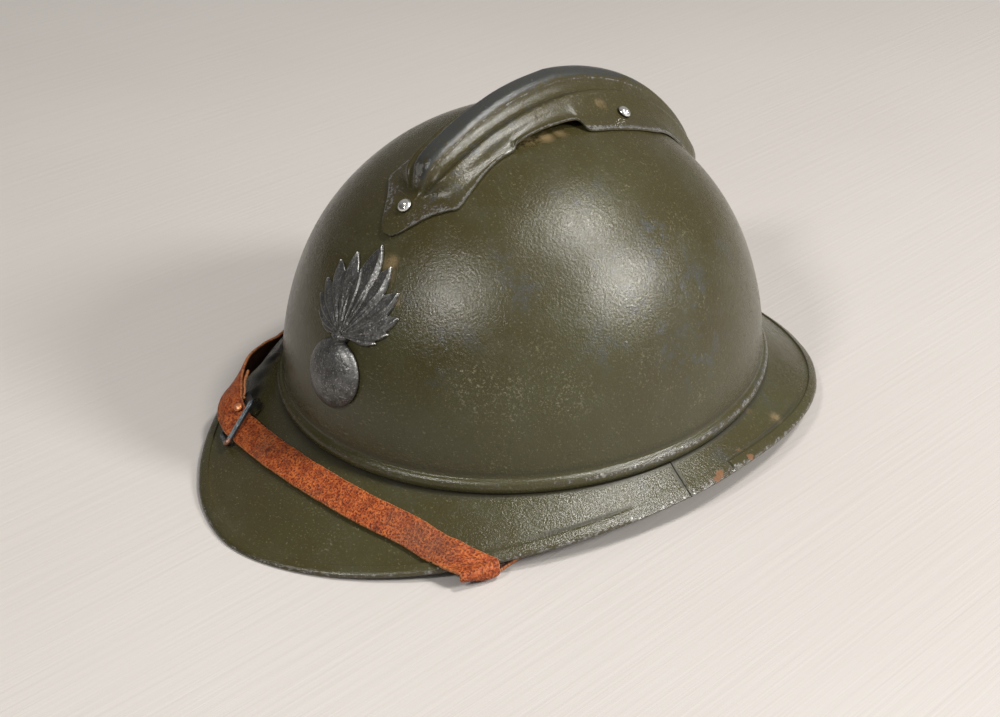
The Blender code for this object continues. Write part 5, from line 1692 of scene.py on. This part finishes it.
for side, word in ((1, "left"), (-1, "right")):
    bar = loop_bar(side)
    half = STRAP_WIDTH / 2 + LOOP_SIDE
    ends = [bar + Vector((x * half, y, 0)) for x, y in ((-1, 0), (1, 0), (1, LOOP_DEEP), (-1, LOOP_DEEP))]
    make_piece("loop_wire_" + word, *wire_frame(ends, LOOP_CORNER, LOOP_WIRE), [black_iron],
               "black_iron", ["strap_loop_" + word], 60)


# %% The strap's end, turned back under it
TURNED_FROM, TURNED_TO = 0.0025, 0.0210     # how far past the buckle the second layer begins and ends


def fold_under():
    """A short second layer under the strap, from the buckle's flat side on."""
    run = strap_run(20)
    start, end = (angle_after(BUCKLE_ANGLE, BUCKLE_SPAN + far) for far in (TURNED_FROM, TURNED_TO))
    rows = []
    for i, row in enumerate(run):
        if end <= row[0] <= start:
            over = strap_row(run, i, 6)
            cross = over[-1] - over[0]
            normal = upwards(strap_step(run, i).cross(cross).normalized())
            drop = STRAP_THICK * 1.02 + 0.0006 * soft(row[0] - end, 3.0, 0.0)
            rows.append([p - normal * drop + cross * 0.035 for p in over])
    return rows


doubled, doubled_places = make_leather("strap_turned_end", fold_under(), STRAP_THICK * 0.9, ())
write_values(doubled, "edge",
             [soft(abs(q[1]) / STRAP_WIDTH, 0.42, 0.49) * 0.8 for q in doubled_places] * 2)


# %% [markdown]
# ## Floor and light
#
# The helmet stands on a plain pale floor. Most of the light is soft and comes from all around, as in
# a bright room, and a little more of it from three sides. Three soft lamps make the two glows on
# the dome and the one on the visor. A lamp that should shine back from one place has to stand where
# the camera's line of sight leaves it like a billiard ball: the ray is mirrored at the normal there.

# %% Lay the floor
FLOOR_HALF = 9      # metres


def floor_finish():
    """Pale and even, with a faint brushed grain."""
    f = Finish("pale_floor")
    cloud = f.noise(3.0, 3, 0.5)
    grain = f.noise(1.0, 5, 0.6, stretch=(420, 9, 1), tilt=(0, 0, -44))
    colour = f.mix(f.ramp(cloud, 0.3, 0.7), (0.437, 0.410, 0.388), (0.458, 0.434, 0.413))
    colour = f.lay(colour, f.ramp(grain, 0.35, 0.7), 0.14, (0.345, 0.320, 0.292))
    return f.finish(colour, 0.0, f.ramp(grain, 0.3, 0.7, 0.55, 0.65), f.bump(grain, 0.0002))


sheet = bpy.data.meshes.new("floor")
sheet.from_pydata([(x * FLOOR_HALF, y * FLOOR_HALF, 0) for x, y in ((-1, -1), (1, -1), (1, 1), (-1, 1))],
                  [], [(0, 1, 2, 3)])
sheet.materials.append(floor_finish())
floor = put_in("floor", sheet)


# %% Light the room
bpy.context.scene.view_settings.view_transform = "Standard"
ROOM, WINDOW_GLOW, BACK_GLOW, SIDE_GLOW = 0.045, 0.66, 0.20, 0.17
world = bpy.data.worlds.new("bright_room")
bpy.context.scene.world = world
world.use_nodes = True
room = Graph(world.node_tree)
air = world.node_tree.nodes["Background"]
room.feed(air.inputs["Color"], (1.0, 0.975, 0.945))
sky = room.add("TexCoord", {}).outputs["Generated"]


def brighter_towards(way, start, end):
    """How bright the room is: start where the view goes away from a direction, end along it."""
    share = room.add("VectorMath", {0: sky, 1: way.normalized()}, operation="DOT_PRODUCT")
    return room.ramp(share.outputs["Value"], 0.3, 1.0, start, end)


high_up = Vector((0, 0, 1))
towards_us = level.cross(high_up)
glow = brighter_towards(towards_us * 0.6 + level * 0.6 + high_up * 0.45, ROOM, ROOM + WINDOW_GLOW)
glow = room.plus(glow, brighter_towards(high_up * 0.65 - towards_us * 0.75, 0.0, BACK_GLOW))
glow = room.plus(glow, brighter_towards(level + high_up * 0.15, 0.0, SIDE_GLOW))
room.feed(air.inputs["Strength"], glow)


# %% Hang the lamps
LAMP_AWAY, LAMP_COLOUR = 1.7, (1.0, 0.98, 0.95)     # metres from the helmet, and nearly white


def lamp_for(name, surface, column, row, size, power):
    """A soft lamp that is mirrored towards the camera at this place of a surface."""
    spot, normal = found(surface, column, row)
    ray = sight(column, row)
    way = (ray - normal * 2 * ray.dot(normal)).normalized()
    light = bpy.data.lights.new(name, "AREA")
    light.shape, light.size, light.energy, light.color = "DISK", size, power, LAMP_COLOUR
    lamp = put_in(name, light)
    lamp.location = spot + SHIFT + way * LAMP_AWAY
    lamp.rotation_euler = (-way).to_track_quat("-Z", "Y").to_euler()
    print(name, "stands at", [round(c, 2) for c in lamp.location])


lamp_for("near_window", bowl_surface, 450, 298, size=0.29, power=16)
lamp_for("side_window", bowl_surface, 624, 278, size=0.39, power=27)
lamp_for("low_window", brim_surfaces[0], 618, 500, size=0.30, power=19)
